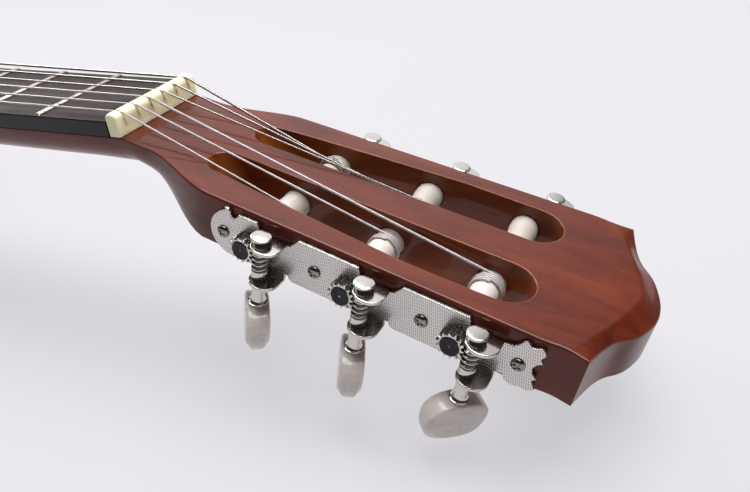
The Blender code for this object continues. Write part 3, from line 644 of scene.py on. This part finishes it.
def neck_skin():
    """One skin over neck and headstock: sections out to the bass side, round the tip and back."""
    bass, treble = [], []
    for origin, lean, half, depth, square, rim in neck_stations():
        up = Vector((math.sin(lean), 0, math.cos(lean)))
        section = half_section(half, depth, square, rim)
        bass.append(placed(section, origin, Vector((0, 1, 0)), up))
        treble.append(placed(section, origin, Vector((0, -1, 0)), up))
    along, across, up = (HEAD.to_3x3() @ Vector(axis) for axis in ((1, 0, 0), (0, 1, 0), (0, 0, 1)))
    centre = HEAD @ Vector((SIDE_END, 0, 0))
    fan = []
    half_tip = tip_outline()
    for u, v in half_tip + [(u, -v) for u, v in reversed(half_tip[:-1])]:
        out = along * (u - SIDE_END) + across * v
        drop = (3.5 - 3.0 * (abs(v) / HALF_AT_CORNER) ** 1.5) * MM * smooth_step(u, 156 * MM, 166 * MM)
        section = half_section(out.length, HEAD_THICKNESS, 1.0, EDGE, crease_distance(u, v), drop)
        fan.append(placed(section, centre, out.normalized(), up))
    bm, _ = stitched(bass + fan + treble[::-1], False)
    bmesh.ops.remove_doubles(bm, verts=bm.verts, dist=0.004 * MM)
    bmesh.ops.holes_fill(bm, edges=[edge for edge in bm.edges if edge.is_boundary])
    return finish_mesh(bm, 28)


def slot_ring(side, w):
    """The loop of a slot's wall at a height; it flares at the top and bottom, and ramps at the nut."""
    deep = min(max(-w / HEAD_THICKNESS, 0), 1)
    flare = 0.0
    for distance in (w + SLOT_EDGE, -HEAD_THICKNESS + SLOT_EDGE - w):
        if distance > 0:
            rise = min(distance, SLOT_EDGE)
            flare = SLOT_EDGE - math.sqrt(SLOT_EDGE**2 - rise**2) + max(distance - SLOT_EDGE, 0)
    start = SLOT_START + (BASS_SHIFT if side > 0 else 0) + SLOT_RAMP * deep**1.15 - flare

    def edges(u):
        """A slot's inner and outer side, which part away from the nut."""
        share = min(max((u - SLOT_START) / (128 * MM - SLOT_START), 0), 1)
        return (5.8 + 1.8 * share) * MM - flare, (17.2 + 9.2 * min(share * 1.25, 1) ** 0.8) * MM + flare

    near = SLOT_START + 8 * MM
    inner, outer = edges(near)
    radius = (outer - inner) / 2
    points = arc((start + radius, inner + radius), radius, 95, 265, 14)
    tip = SLOT_END - 9.2 * MM
    rest = start + radius
    for i in range(1, 9):
        u = rest + (tip - rest) * i / 9
        points.append((u, edges(u)[0]))
    inner, outer = edges(tip)
    radius = (outer - inner) / 2
    end = SLOT_END + flare
    points += arc((end - radius, inner + radius), radius, -88, 88, 16)
    for i in range(9):
        u = tip - (tip - rest) * (i + 0.6) / 9
        points.append((u, edges(max(u, near))[1]))
    return [HEAD @ Vector((u, side * v, w)) for u, v in points]


def build_neck(wood, slot_wood):
    levels = [1.2 * MM] + [SLOT_EDGE * (math.sin(math.radians(a)) - 1) for a in (90, 68, 45, 22, 0)]
    levels += [-3 * MM * i for i in range(1, 6)]
    levels += [-HEAD_THICKNESS - w for w in levels[5::-1]]
    slots = joined(*(skin([slot_ring(side, w) for w in levels]) for side in (1, -1)))
    bores = []
    for name in BASS + TREBLE:
        side = 1 if name in BASS else -1
        length = abs(roller_end(name)) / MM + 0.3
        bore = turned([(5.3, 3), (5.3, -length)], 32, side)
        bore.transform(tuner_frames(name)[0])
        bores.append(bore)
    tools = [joined(*bores), slots]
    for tool in tools:
        tool.materials.append(slot_wood)
    body = neck_skin()
    body.materials.append(wood)
    mesh = carve(body, tools, angle=28)
    stands = ("neck_shaft", "headstock")
    piece("neck_and_headstock", mesh, None, "mahogany", stands_for=stands, even=True)


# Tuners


def tuner_frames(name):
    """The frames on a tuner's roller axis, at the headstock's side, and on its worm's axis."""
    roll, turn = JOINTS[f"roller_turn_{name}"], JOINTS[f"button_turn_{name}"]
    y, z = Vector(roll["axis"]).normalized(), Vector(turn["axis"]).normalized()
    axes = Matrix((y.cross(z), y, z)).transposed().to_4x4()
    return (Matrix.Translation(roll["pos_m"]) @ axes, Matrix.Translation(turn["pos_m"]) @ axes)


def roller_end(name):
    """Where a roller ends inside the web, along its frame's Y."""
    side = 1 if name in BASS else -1
    return 4 * MM * side - JOINTS[f"roller_turn_{name}"]["pos_m"][1]


def upright(side):
    """Stands a plate made in XY up in XZ, with its thickness towards a side."""
    return Matrix(((1, 0, 0, 0), (0, 0, side, 0), (0, 1, 0, 0), (0, 0, 0, 1)))


def plate_outline(top):
    """The plate in its first roller's frame: X along, Y up. A leaf, two lobes and a scalloped end."""
    points = arc((-6.4 * MM, 0.4 * MM), 8.4 * MM, 262, 112, 20)
    points += arc((-9.0 * MM, 7.7 * MM), 1.5 * MM, 110, -10, 6)
    points += in_mm(((-7.2, 6.6), (-6.2, 6.1), (-5.4, 6.9), (-4.4, 8.3)))
    for i in range(3):
        points += in_mm(((2.2, 8.5), (3.0, 7.0), (3.3, 4.9), (12.9, 4.9)), i * PITCH)
        if i < 2:
            points += in_mm(((14.3, 5.3), (16.9, 8.5)), i * PITCH)
    scallops = (
        (13.8, 5.1), (16.0, 5.5), (17.4, 7.0), (18.2, 8.3), (19.2, 8.8), (20.2, 8.2), (20.8, 7.5),
        (21.8, 7.6), (23.2, 8.4), (24.4, 7.9), (25.0, 6.6), (24.3, 5.4), (24.0, 4.7), (24.9, 3.6),
        (23.4, 2.4), (22.6, 0.8), (23.0, -1.2), (24.6, -2.5), (23.5, -3.7), (24.2, -5.0), (24.9, -6.6),
        (23.2, -7.8), (20.6, -7.6), (18.4, -8.3), (16.2, -7.4), (15.4, -5.6),
    )
    points += in_mm(scallops, 2 * PITCH)
    for i in (2, 1, 0):
        if i < 2:
            points += in_mm(((15.8, -7.8), (14.9, -7.2), (14.3, -6.0)), i * PITCH)
        points += in_mm(((13.3, -6.0), (13.2, -8.5), (3.7, -8.5), (3.2, -7.8)), i * PITCH)
    return [(x, min(y, top)) for x, y in points]


def build_plate(names, side, engraved, bright):
    label = "bass" if side > 0 else "treble"
    place, _ = tuner_frames(names[0])
    top = 7.2 * MM if side > 0 else 9.2 * MM
    sheet = flat([plate_outline(top)], 0.3 * MM, PLATE_FACE, 0.22 * MM)
    sheet.transform(upright(side))
    stands = (f"tuner_plate_{label}",)
    piece(f"plate_{label}", sheet, engraved, "nickel", place=place, stands_for=stands, even=True)
    ear_shape = in_mm(((3.6, 0.9), (13.3, 0.9))) + arc((8.44 * MM, 5.05 * MM), 4.95 * MM, 0, 180, 28)
    heights = (("upper", AXIS_DEPTH + UPPER_EAR), ("lower", AXIS_DEPTH + LOWER_EAR + EAR_THICKNESS))
    for i in range(3):
        for name, top in heights:
            ear = flat([ear_shape], top - EAR_THICKNESS, top, 0.3 * MM, 3)
            ear.transform(Matrix.Translation((i * PITCH, 0, 0)) @ Matrix.Diagonal((1, side, 1, 1)))
            if side < 0:
                ear.flip_normals()
            piece(f"{name}_ear_{label}_{i + 1}", ear, bright, "nickel", place=place, even=True)


def build_screw(number, label, side, x, place, look):
    """A round-headed screw with a cross cut into it."""
    seat, radius = PLATE_FACE / MM, 2.15
    profile = [(1.1, -4.9), (1.1, seat), (radius, seat), (radius, seat + 0.2)]
    for a in (15, 35, 55, 75):
        angle = math.radians(a)
        profile.append((radius * math.cos(angle), seat + 0.2 + 0.95 * math.sin(angle)))
    shape = turned(profile, 32, side)
    tools = []
    for turn in (0.4, 0.4 + math.pi / 2):
        where = Matrix.Translation((0, side * (PLATE_FACE + 1.35 * MM), 0)) @ Matrix.Rotation(turn, 4, "Y")
        tools.append(block(where, 2.6 * MM, 1.6 * MM, 0.62 * MM))
    shape = carve(shape, tools)
    where = place @ Matrix.Translation((x, 0, 0))
    name = f"{label}_{number}"
    piece(f"screw_{name}", shape, look, "nickel", place=where, stands_for=(f"plate_screw_{name}",))


def worm_mesh():
    """Cap, threaded shaft and collar, down to the ferrule on the button; Z = 0 at the headstock's face."""
    cap, low, top = UPPER_EAR / MM, LOWER_EAR / MM, BUTTON_TOP / MM
    profile = (
        (0.4, cap + 2.5), (2.7, cap + 2.48), (3.05, cap + 2.42), (3.24, cap + 2.28), (3.3, cap + 2.1),
        (3.26, cap + 1.65), (3.1, cap + 1.5), (2.45, cap + 1.42), (2.4, cap + 0.1), (1.5, cap),
        (1.5, cap - 1.2), (2.3, cap - 1.3), (2.5, cap - 1.5), (2.5, cap - 2.0), (1.75, cap - 2.5),
        (1.75, -14.6), (2.45, -14.9), (2.6, -15.2), (2.6, low + 1.3), (1.9, low + 1.2), (1.9, low - 0.1),
        (2.1, low - 0.3), (2.1, top + 1.5), (2.3, top + 0.9), (2.8, top + 0.5), (3.1, top + 0.4),
        (3.15, top + 0.2), (3.0, top + 0.02), (1.2, top), (1.2, top - 4),
    )
    shaft = turned(profile)
    rings = []
    steps = 32
    shape = ((1.6, -0.5), (2.5, -0.24), (2.62, -0.12), (2.62, 0.12), (2.5, 0.24), (1.6, 0.5))
    for i in range(4 * steps + 1):
        angle = math.pi + 2 * math.pi * i / steps
        z = -AXIS_DEPTH + WORM_LEAD * (i / steps - 2.5)
        rings.append([(r * MM * math.cos(angle), r * MM * math.sin(angle), z + h * MM) for r, h in shape])
    return joined(shaft, skin(rings))


def darken(mesh, bright, dark, low, high, reach):
    """Both looks on a mesh: the dark one, which is painted shade, between two heights, as far out as reach.
    """
    mesh.materials.clear()
    mesh.materials.append(bright)
    mesh.materials.append(dark)
    for polygon in mesh.polygons:
        x, y, z = polygon.center
        if low < z < high and math.hypot(x, y) < reach:
            polygon.material_index = 1


def button_mesh(turn):
    """An oval button: broad faces, chamfers that widen towards its lower end and a band between them."""
    rings = []
    for layer in range(12):
        row, front = (layer, 1) if layer < 6 else (11 - layer, -1)
        ring = []
        for c, s in circle(72):
            x = math.copysign(abs(c) ** BUTTON_SQUARE, c) * BUTTON_WIDTH / 2
            z = math.copysign(abs(s) ** BUTTON_SQUARE, s) * BUTTON_HEIGHT / 2
            reach = math.hypot(x, z)
            low = smooth_step(-s, -0.9, 0.6)
            chamfer = (0.7 + 1.9 * low) * MM
            band = (3.3 - 1.5 * low) * MM
            face = 3.72 * MM
            inset, y = (
                (reach * 0.7, face + 0.13 * MM),
                (chamfer + 0.5 * MM, face + 0.08 * MM),
                (chamfer, face),
                (chamfer * 0.8, face + (band - face) * 0.2),
                (chamfer * 0.12, face + (band - face) * 0.9),
                (0.0, band - 0.25 * MM),
            )[row]
            shrink = 1 - inset / reach
            ring.append((x * shrink, front * y, z * shrink))
        rings.append(ring)
    mesh = skin(rings, angle=50)
    mesh.transform(Matrix.Translation((0, 0, BUTTON_TOP - BUTTON_HEIGHT / 2)))
    mesh.transform(Matrix.Rotation(turn, 4, "Z"))
    return mesh


def cog_mesh(side):
    """A small spur cog with bevelled teeth."""
    flank = ((3.5, 0.32), (3.6, 0.26), (4.2, 0.16), (4.35, 0.08))
    tooth = [(radius, -share) for radius, share in flank] + [*reversed(flank)]
    corners = []
    for number in range(COG_TEETH):
        for radius, share in tooth:
            angle = (number + share) * 2 * math.pi / COG_TEETH
            corners.append((radius * MM * math.cos(angle), radius * MM * math.sin(angle)))
    mesh = flat([corners], 1.9 * MM, 6.4 * MM, 0.15 * MM)
    mesh.transform(upright(side))
    if side > 0:
        mesh.flip_normals()
    return mesh


def roller_mesh(name, side):
    """A turned barrel: a rounded end in the web, a waist for the string and a shoulder by the rail."""
    end = -abs(roller_end(name)) / MM
    profile = [(2.6, end), (4.2, end + 0.2), (4.9, end + 0.9), (4.9, end + 3), (4.6, end + 3.8)]
    profile += [(4.55, -14.5), (4.8, -13.2), (4.95, -12), (4.9, -9), (4.9, -0.6), (4.6, -0.3)]
    profile += [(1.9, -0.3), (1.9, 1.9)]
    return turned(profile, 48, side)


def build_tuner(name, side, looks, number):
    at, worm_at = tuner_frames(name)
    face = worm_at @ Matrix.Translation((0, 0, AXIS_DEPTH))
    bright = looks["bright"]
    worm = worm_mesh()
    # The thread between the ears takes the darker nickel: painted shade and dark reflection there.
    darken(worm, bright, looks["painted_shade_nickel"], -18.4 * MM, -5.4 * MM, 2.53 * MM)
    on_worm = {"body": f"button_{name}_worm", "place": face}
    piece(f"worm_shaft_{name}", worm, None, "nickel", stands_for=(f"worm_{name}",), **on_worm)
    button = button_mesh(side * math.radians(BUTTON_TURNS[side][number]))
    piece(f"oval_button_{name}", button, looks["pearl"], "pearl", stands_for=(f"button_{name}",), **on_worm)
    on_roller = {"body": f"roller_{name}_cog", "place": at}
    cog = cog_mesh(side)
    piece(f"spur_cog_{name}", cog, bright, "nickel", stands_for=(f"cog_{name}",), even=True, **on_roller)
    disc = ((3.0, 6.3), (3.0, 6.52), (2.9, 6.6), (2.4, 6.56), (0.4, 6.5), (0.02, 6.5))
    piece(f"cog_screw_{name}", turned(disc, side=side), looks["black"], "nickel", **on_roller)
    rim = ((3.0, 6.2), (3.3, 6.2), (3.32, 6.5), (3.15, 6.62), (3.0, 6.5))
    piece(f"cog_washer_{name}", turned(rim, side=side), bright, "nickel", **on_roller)
    roller = roller_mesh(name, side)
    # The bass rollers take a darker copy of the roller plastic: painted shade.
    look = looks["roller_bass_painted_shade" if side > 0 else "roller"]
    stands = (f"string_roller_{name}",)
    piece(f"roller_{name}", roller, look, "white_plastic", stands_for=stands, **on_roller)


# Strings


def string_side(name, spread):
    """A string's place across, with the outer two a spread apart."""
    return spread * (0.5 - STRINGS.index(name) / 5)


def winding_start(name):
    """The distance from the centre line where a string meets its roller."""
    place = (BASS if name in BASS else TREBLE).index(name)
    return (15.2 * MM, 10.4 * MM, 9.6 * MM)[place]


def build_string(name, look):
    side = 1 if name in BASS else -1
    radius = STRING_RADII[name]
    at, _ = tuner_frames(name)
    barrel = 4.7 * MM + radius
    y0 = side * winding_start(name) - JOINTS[f"roller_turn_{name}"]["pos_m"][1]
    nut_y = string_side(name, NUT_SPREAD)
    rest = Vector((NUT_FRONT, nut_y, TOP_Z + GROOVE_HEIGHT + radius))
    local = at.inverted() @ rest
    slope = math.atan2(local.z - barrel, -local.x)
    turns = 4 if name in ("G", "D") else 3
    drift = side * 2.15 * radius
    coil = []
    for i in range(turns * COIL_STEPS + 1):
        turn = i / COIL_STEPS
        a = slope + 2 * math.pi * turn
        coil.append(at @ Vector((barrel * math.sin(a), y0 + drift * turn, barrel * math.cos(a))))
    bridge_y = string_side(name, BRIDGE_SPREAD)
    top = SADDLE_TOP + radius
    tie = TOP_Z + 6 * MM
    over_bridge = ((-19 * MM, tie), (-5 * MM, tie), (-1.2 * MM, top - 0.1 * MM), (0, top + 0.1 * MM))
    route = [Vector((SADDLE_X + x, bridge_y, z)) for x, z in over_bridge]
    route += [Vector((NUT_BACK + 0.4 * MM, nut_y, rest.z + 0.25 * MM)), rest, coil[0]]
    slot = "wound" if side > 0 else "nylon"
    piece(f"string_{name}_run", tube(route, radius), look, slot, stands_for=(f"string_{name}",))
    piece(f"winding_{name}", tube(coil, radius), look, slot, f"roller_{name}_cog")
    loop = []
    for i in range(19):
        a = math.radians(-60 + 300 * i / 18)
        x = SADDLE_X - 13 * MM + 6.4 * MM * math.cos(a)
        z = tie + 1.6 * MM + 2.6 * MM * math.sin(a)
        loop.append(Vector((x, bridge_y + (i - 9) * 0.16 * radius, z)))
    piece(f"bridge_knot_{name}", tube(loop, radius * 0.95), look, slot)


# Nut, fingerboard and frets


def build_nut(look):
    """A rounded block with a groove for each string, open above and falling towards the rollers."""
    profile = ((0.15, 0.2), (0.1, 6.6), (0.5, 7.5), (1.3, 8.1), (2.4, 8.2), (3.6, 7.9), (4.5, 7.2),
               (4.9, 6.3), (4.95, 0.2))
    ends = ((1, 0.55), (0.993, 0.25), (0.975, 0.06), (0.95, 0))
    rings = []
    for share, shrink in [(-share, shrink) for share, shrink in ends] + [(0, 0), *reversed(ends)]:
        ring = []
        for x, z in profile:
            x = 2.5 + (x - 2.5) * (1 - shrink * 0.35)
            z = z - shrink * (1.1 if z > 4 else 0)
            ring.append((NUT_BACK + x * MM, share * NUT_WIDTH / 2, TOP_Z + z * MM))
        rings.append(ring)
    tools = []
    for name in STRINGS:
        y, radius = string_side(name, NUT_SPREAD), STRING_RADII[name]
        z = TOP_Z + GROOVE_HEIGHT + radius
        groove = [(NUT_BACK - 1 * MM, y, z + 0.45 * MM), (NUT_BACK + 2.6 * MM, y, z + 0.05 * MM)]
        groove += [(NUT_BACK + 4.2 * MM, y, z - 1.2 * MM), (NUT_FRONT + 0.5 * MM, y, TOP_Z + 1.4 * MM)]
        tools.append(tube(groove, radius + 0.12 * MM))
        lift = 8.2 * MM
        above = Matrix.Translation(((NUT_BACK + NUT_FRONT) / 2, y, z + lift / 2))
        tools.append(block(above, 8 * MM, 2 * radius + 0.1 * MM, lift))
    nut = carve(skin(rings), tools, angle=40)
    piece("nut_bone", nut, look, "cream", stands_for=("nut",))


def fret_x(number):
    return NUT_BACK - SCALE_LENGTH * (1 - 2 ** (-number / 12))


def build_fingerboard(look, edge_look, fret_look):
    end = fret_x(FRETS) - 3 * MM
    low, high, round_by = TOP_Z + 0.05 * MM, BOARD_TOP, 0.5 * MM
    corner = ((0, high - round_by), (0.3 * round_by, high - 0.3 * round_by), (round_by, high))
    rings = []
    for x in (end, end + 0.6 * MM, NUT_BACK - 0.3 * MM):
        half = board_half(x)
        ring = [(x, -half, low)] + [(x, inset - half, z) for inset, z in corner]
        ring += [(x, half - inset, z) for inset, z in reversed(corner)] + [(x, half, low)]
        rings.append(ring)
    board = skin(rings, angle=60)
    board.materials.append(look)
    board.materials.append(edge_look)
    for polygon in board.polygons:
        if abs(polygon.normal.z) < 0.5:
            polygon.material_index = 1
    piece("fingerboard_wood", board, None, "dark_wood", stands_for=("fingerboard",), even=True)
    crown = [(1.15 * math.cos(math.radians(a)), math.sin(math.radians(a))) for a in range(0, 181, 18)]
    for number in range(1, FRETS + 1):
        x = fret_x(number)
        half = board_half(x) - 0.3 * MM
        rings = []
        for share, height in ((-1, 0.25), (-0.975, 0.85), (-0.96, 1), (0.96, 1), (0.975, 0.85), (1, 0.25)):
            base = BOARD_TOP - 0.05 * MM
            rings.append([(x + a * MM, share * half, base + b * MM * height) for a, b in crown])
        piece(f"fret_{number}", skin(rings, angle=50), fret_look, "nickel")


# Sound box


def bezier(points, count):
    for i in range(count):
        t = i / count
        weights = ((1 - t) ** 3, 3 * t * (1 - t) ** 2, 3 * t * t * (1 - t), t**3)
        yield tuple(sum(w * p[k] for w, p in zip(weights, points)) for k in (0, 1))


def outline(inset=0.0):
    """The sound box's outline moved inwards by inset."""
    low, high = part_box("soundboard")
    tail, end, lower = low.x, high.x, high.y
    waist, upper = 101 * MM, 120 * MM
    at_lower, at_waist, at_upper = -92 * MM, 56 * MM, 134 * MM
    pieces = (
        ((tail, 0), (tail, 92 * MM), (-156 * MM, lower), (at_lower, lower)),
        ((at_lower, lower), (-28 * MM, lower), (12 * MM, waist), (at_waist, waist)),
        ((at_waist, waist), (86 * MM, waist), (102 * MM, upper), (at_upper, upper)),
        ((at_upper, upper), (180 * MM, upper), (end, 82 * MM), (end, 0)),
    )
    points = [p for part, count in zip(pieces, (34, 24, 20, 30)) for p in bezier(part, count)]
    points.append((end, 0))
    moved = []
    for i, (x, y) in enumerate(points):
        before, after = points[max(i - 1, 0)], points[min(i + 1, len(points) - 1)]
        along = Vector((after[0] - before[0], after[1] - before[1])).normalized()
        moved.append((x + along.y * inset, y - along.x * inset))
    moved[0] = (tail + inset, 0)
    moved[-1] = (end - inset, 0)
    return moved + [(x, -y) for x, y in reversed(moved[1:-1])]


def ring_outline(radius):
    centre = (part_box("rosette")[0].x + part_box("rosette")[1].x) / 2
    return [(centre + radius * c, radius * s) for c, s in circle(96)]


def build_body(looks):
    wood, pale, dark = looks["mahogany"], looks["cream"], looks["dark"]
    hole = ring_outline(38 * MM)
    sheet = flat([outline(0.3 * MM)], 0, PANEL, 0.3 * MM)
    piece("back_wood", sheet, wood, "mahogany", stands_for=("back_plate",), even=True)
    sides = flat([outline(0.2 * MM), outline(2 * MM)], PANEL, TOP_Z - PANEL)
    piece("side_wood", sides, wood, "mahogany", stands_for=("rib_bass", "rib_treble"))
    board = flat([outline(2.2 * MM), hole], TOP_Z - PANEL, TOP_Z, 0.2 * MM)
    piece("top_wood", board, looks["spruce"], "spruce", stands_for=("soundboard",), even=True)
    top, back = (TOP_Z - 4 * MM, TOP_Z + 0.05 * MM, TOP_Z - 4.9 * MM), (0, 4 * MM, 4.1 * MM)
    for name, (low, high, line_low) in (("top", top), ("back", back)):
        strip = flat([outline(), outline(2.1 * MM)], low, high, 0.5 * MM, 3)
        piece(f"{name}_binding", strip, dark, "dark_wood", even=True)
        line = flat([outline(0.1 * MM), outline(0.5 * MM)], line_low, line_low + 0.8 * MM)
        piece(f"{name}_binding_line", line, pale, "cream")
    line = flat([outline(2.15 * MM), outline(3.0 * MM)], TOP_Z - 0.5 * MM, TOP_Z + 0.06 * MM)
    piece("top_purfling", line, pale, "cream")
    edges = (43 * MM, 44.2 * MM, 45 * MM, 52 * MM, 52.8 * MM, 54 * MM)
    for number, look in enumerate((dark, pale, looks["mosaic"], pale, dark)):
        inner, outer = ring_outline(edges[number]), ring_outline(edges[number + 1])
        band = flat([outer, inner], TOP_Z - 0.5 * MM, TOP_Z + 0.08 * MM)
        stands = ("rosette",) if number == 2 else ()
        piece(f"rosette_ring_{number + 1}", band, look, "inlay", stands_for=stands)


def build_bridge(look, bone_look):
    low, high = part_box("bridge")
    wing_shape = []
    for c, s in circle(48):
        x = math.copysign(abs(c) ** 0.35, c) * (high.x - low.x) / 2
        y = math.copysign(abs(s) ** 0.5, s) * high.y
        wing_shape.append(((low.x + high.x) / 2 + x, y))
    wings = flat([wing_shape], low.z - 0.25 * MM, low.z + 3.4 * MM, 1.2 * MM, 4)
    back, front, half = low.x + 0.6 * MM, high.x - 0.6 * MM, 39 * MM
    corners = [(back, -half), (front, -half), (front, half), (back, half)]
    centre = flat([corners], low.z + 1 * MM, TOP_Z + 9 * MM, 0.6 * MM, 3)
    tools = []
    for middle, width, length in ((-6 * MM, 4 * MM, 80 * MM), (0, 3.3 * MM, 73 * MM)):
        place = Matrix.Translation((SADDLE_X + middle, 0, low.z + 14 * MM))
        tools.append(block(place, width, length, 20 * MM))
    centre = carve(centre, tools)
    piece("bridge_wood", wings, look, "dark_wood", stands_for=("bridge",), even=True)
    piece("bridge_block", centre, look, "dark_wood", even=True)
    saddle_low, saddle_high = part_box("saddle")
    back, front, round_z = SADDLE_X - SADDLE_RADIUS, SADDLE_X + SADDLE_RADIUS, saddle_high.z - SADDLE_RADIUS
    rings = []
    for share, drop in ((-1, 0.6), (-0.985, 0.15), (-0.96, 0), (0.96, 0), (0.985, 0.15), (1, 0.6)):
        y = share * saddle_high.y
        crown = arc((SADDLE_X, round_z - drop * MM), SADDLE_RADIUS, 0, 180, 9)
        rings.append([(x, y, z) for x, z in (*crown, (back, saddle_low.z), (front, saddle_low.z))])
    piece("saddle_bone", skin(rings), bone_look, "cream", stands_for=("saddle",))


# Stage, light and camera


def build_stage():
    """A floor that reaches 40 m each way, just under the guitar's back."""
    bm = bmesh.new()
    bmesh.ops.create_grid(bm, x_segments=2, y_segments=2, size=40)
    mesh = bpy.data.meshes.new("floor")
    bm.to_mesh(mesh)
    bm.free()
    mesh.materials.append(pale_floor())
    floor = added("floor", mesh, Matrix.Translation((0, 0, -0.4 * MM)))


def area_light(name, place, target, size, power):
    data = bpy.data.lights.new(name, "AREA")
    data.shape = "RECTANGLE"
    data.size, data.size_y = size
    data.energy = power
    aim = (target - place).to_track_quat("-Z", "Y")
    added(name, data, Matrix.Translation(place) @ aim.to_matrix().to_4x4())


def build_light():
    """A bright backdrop beyond the guitar, a darker room behind the camera and soft boxes above."""
    world = bpy.data.worlds.new("studio")
    bpy.context.scene.world = world
    world.use_nodes = True
    nodes, links = world.node_tree.nodes, world.node_tree.links
    coordinates = nodes.new("ShaderNodeTexCoord")
    toward = nodes.new("ShaderNodeVectorMath")
    toward.operation = "DOT_PRODUCT"
    toward.inputs[1].default_value = (-0.55, 0.62, 0.52)
    links.new(coordinates.outputs["Generated"], toward.inputs[0])
    ramp = nodes.new("ShaderNodeValToRGB")
    links.new(toward.outputs["Value"], ramp.inputs["Fac"])
    stops = ((0.0, 0.04), (0.6, 0.1), (0.8, 1.0), (0.88, 1.15))
    for _ in stops[2:]:
        ramp.color_ramp.elements.new(0.5)
    for element, (position, grey) in zip(ramp.color_ramp.elements, stops):
        element.position = position
        element.color = (grey, grey, grey * 1.02, 1)
    links.new(ramp.outputs["Color"], nodes["Background"].inputs["Color"])
    head = HEAD @ Vector((80 * MM, 0, 0))
    area_light("overhead", head + Vector((0.1, 0.25, 1.2)), head, (1.2, 0.9), 26.0)
    area_light("left", head + Vector((-1.2, 0.4, 0.7)), head, (0.6, 0.6), 7.0)


def build_camera():
    """The photo's view of the headstock, placed from the nut."""
    place = Vector((NUT_FRONT, 0, TOP_Z)) + Vector((184.25, -192.49, 87.03)) * MM
    right = Vector((0.9006, 0.4222, -0.1033)).normalized()
    back = Vector((0.4129, -0.7568, 0.5068)).normalized()
    up = back.cross(right).normalized()
    right = up.cross(back)
    data = bpy.data.cameras.new("camera")
    data.lens = 35.92
    data.clip_start = 0.01
    axes = Matrix((right, up, back)).transposed().to_4x4()
    bpy.context.scene.camera = added("camera", data, Matrix.Translation(place) @ axes)


def build_looks():
    mahogany = (0.088, 0.011, 0.004), (0.125, 0.018, 0.006), (0.17, 0.03, 0.009)
    slot = (0.12, 0.024, 0.005), (0.2, 0.044, 0.009), (0.3, 0.075, 0.014)
    rosewood = (0.012, 0.007, 0.006), (0.024, 0.013, 0.01), (0.045, 0.022, 0.016)
    # A darker white for the bass rollers than for the treble ones: painted shade.
    bass_white_painted_shade = (0.56, 0.5, 0.455)
    return {
        "mahogany": grained_wood("lacquered_mahogany", *mahogany),
        "slot": grained_wood("slot_mahogany", *slot),
        "spruce": spruce(),
        "raw": raw_wood(),
        "dark": grained_wood("dark_rosewood", *rosewood, gloss=0.3),
        "board": dark_board(),
        "board_edge": board_edge(),
        "cream": bone(),
        "mosaic": mosaic(),
        "engraved": engraved_nickel(),
        "bright": nickel("bright_nickel", (0.64, 0.61, 0.57), 0.12).material,
        # Darker nickel for the worm between the ears and the screw domes: painted shade and dark
        # reflection.
        "painted_shade_nickel": nickel("nickel_with_painted_shade", (0.3, 0.28, 0.255), 0.17).material,
        "fret": nickel("fret_nickel", (0.44, 0.395, 0.365), 0.34).material,
        "black": blackened(),
        "pearl": pearl_plastic(),
        "roller": plastic("roller_plastic", (0.78, 0.71, 0.65), 0.32, 0.02, 0.2, 300, 0.12).material,
        "roller_bass_painted_shade": plastic("roller_plastic_bass_painted_shade", bass_white_painted_shade, 0.4, 0.02, 0.2, 300, 0.05).material,
        "nylon": nylon(),
        "wound": wound_metal(),
    }


def dress_inside(look):
    """The braces, linings and blocks keep their CAD shapes."""
    linings = [f"{face}_lining_{side}" for face in ("top", "back") for side in ("bass", "treble")]
    for name in (*linings, "tail_block", "foot_block", "fan_bracing", "upper_harmonic_bar", "back_brace"):
        for slot in frame["nodes"][name].material_slots:
            slot.material = look


bpy.context.scene.view_settings.view_transform = "Standard"
build_camera()
build_stage()
build_light()
looks = build_looks()
build_neck(looks["mahogany"], looks["slot"])
for names, side in ((BASS, 1), (TREBLE, -1)):
    build_plate(names, side, looks["engraved"], looks["bright"])
    start = tuner_frames(names[0])[0]
    for number, x in enumerate((-9.8, 23.4, 59.13, 88.76), 1):
        # The screw domes take the darker nickel: painted dark reflection.
        build_screw(number, "bass" if side > 0 else "treble", side, x * MM, start, looks["painted_shade_nickel"])
    for number, name in enumerate(names):
        build_tuner(name, side, looks, number)
for name in STRINGS:
    build_string(name, looks["wound"] if name in BASS else looks["nylon"])
build_nut(looks["cream"])
build_fingerboard(looks["board"], looks["board_edge"], looks["fret"])
build_body(looks)
build_bridge(looks["dark"], looks["cream"])
dress_inside(looks["raw"])
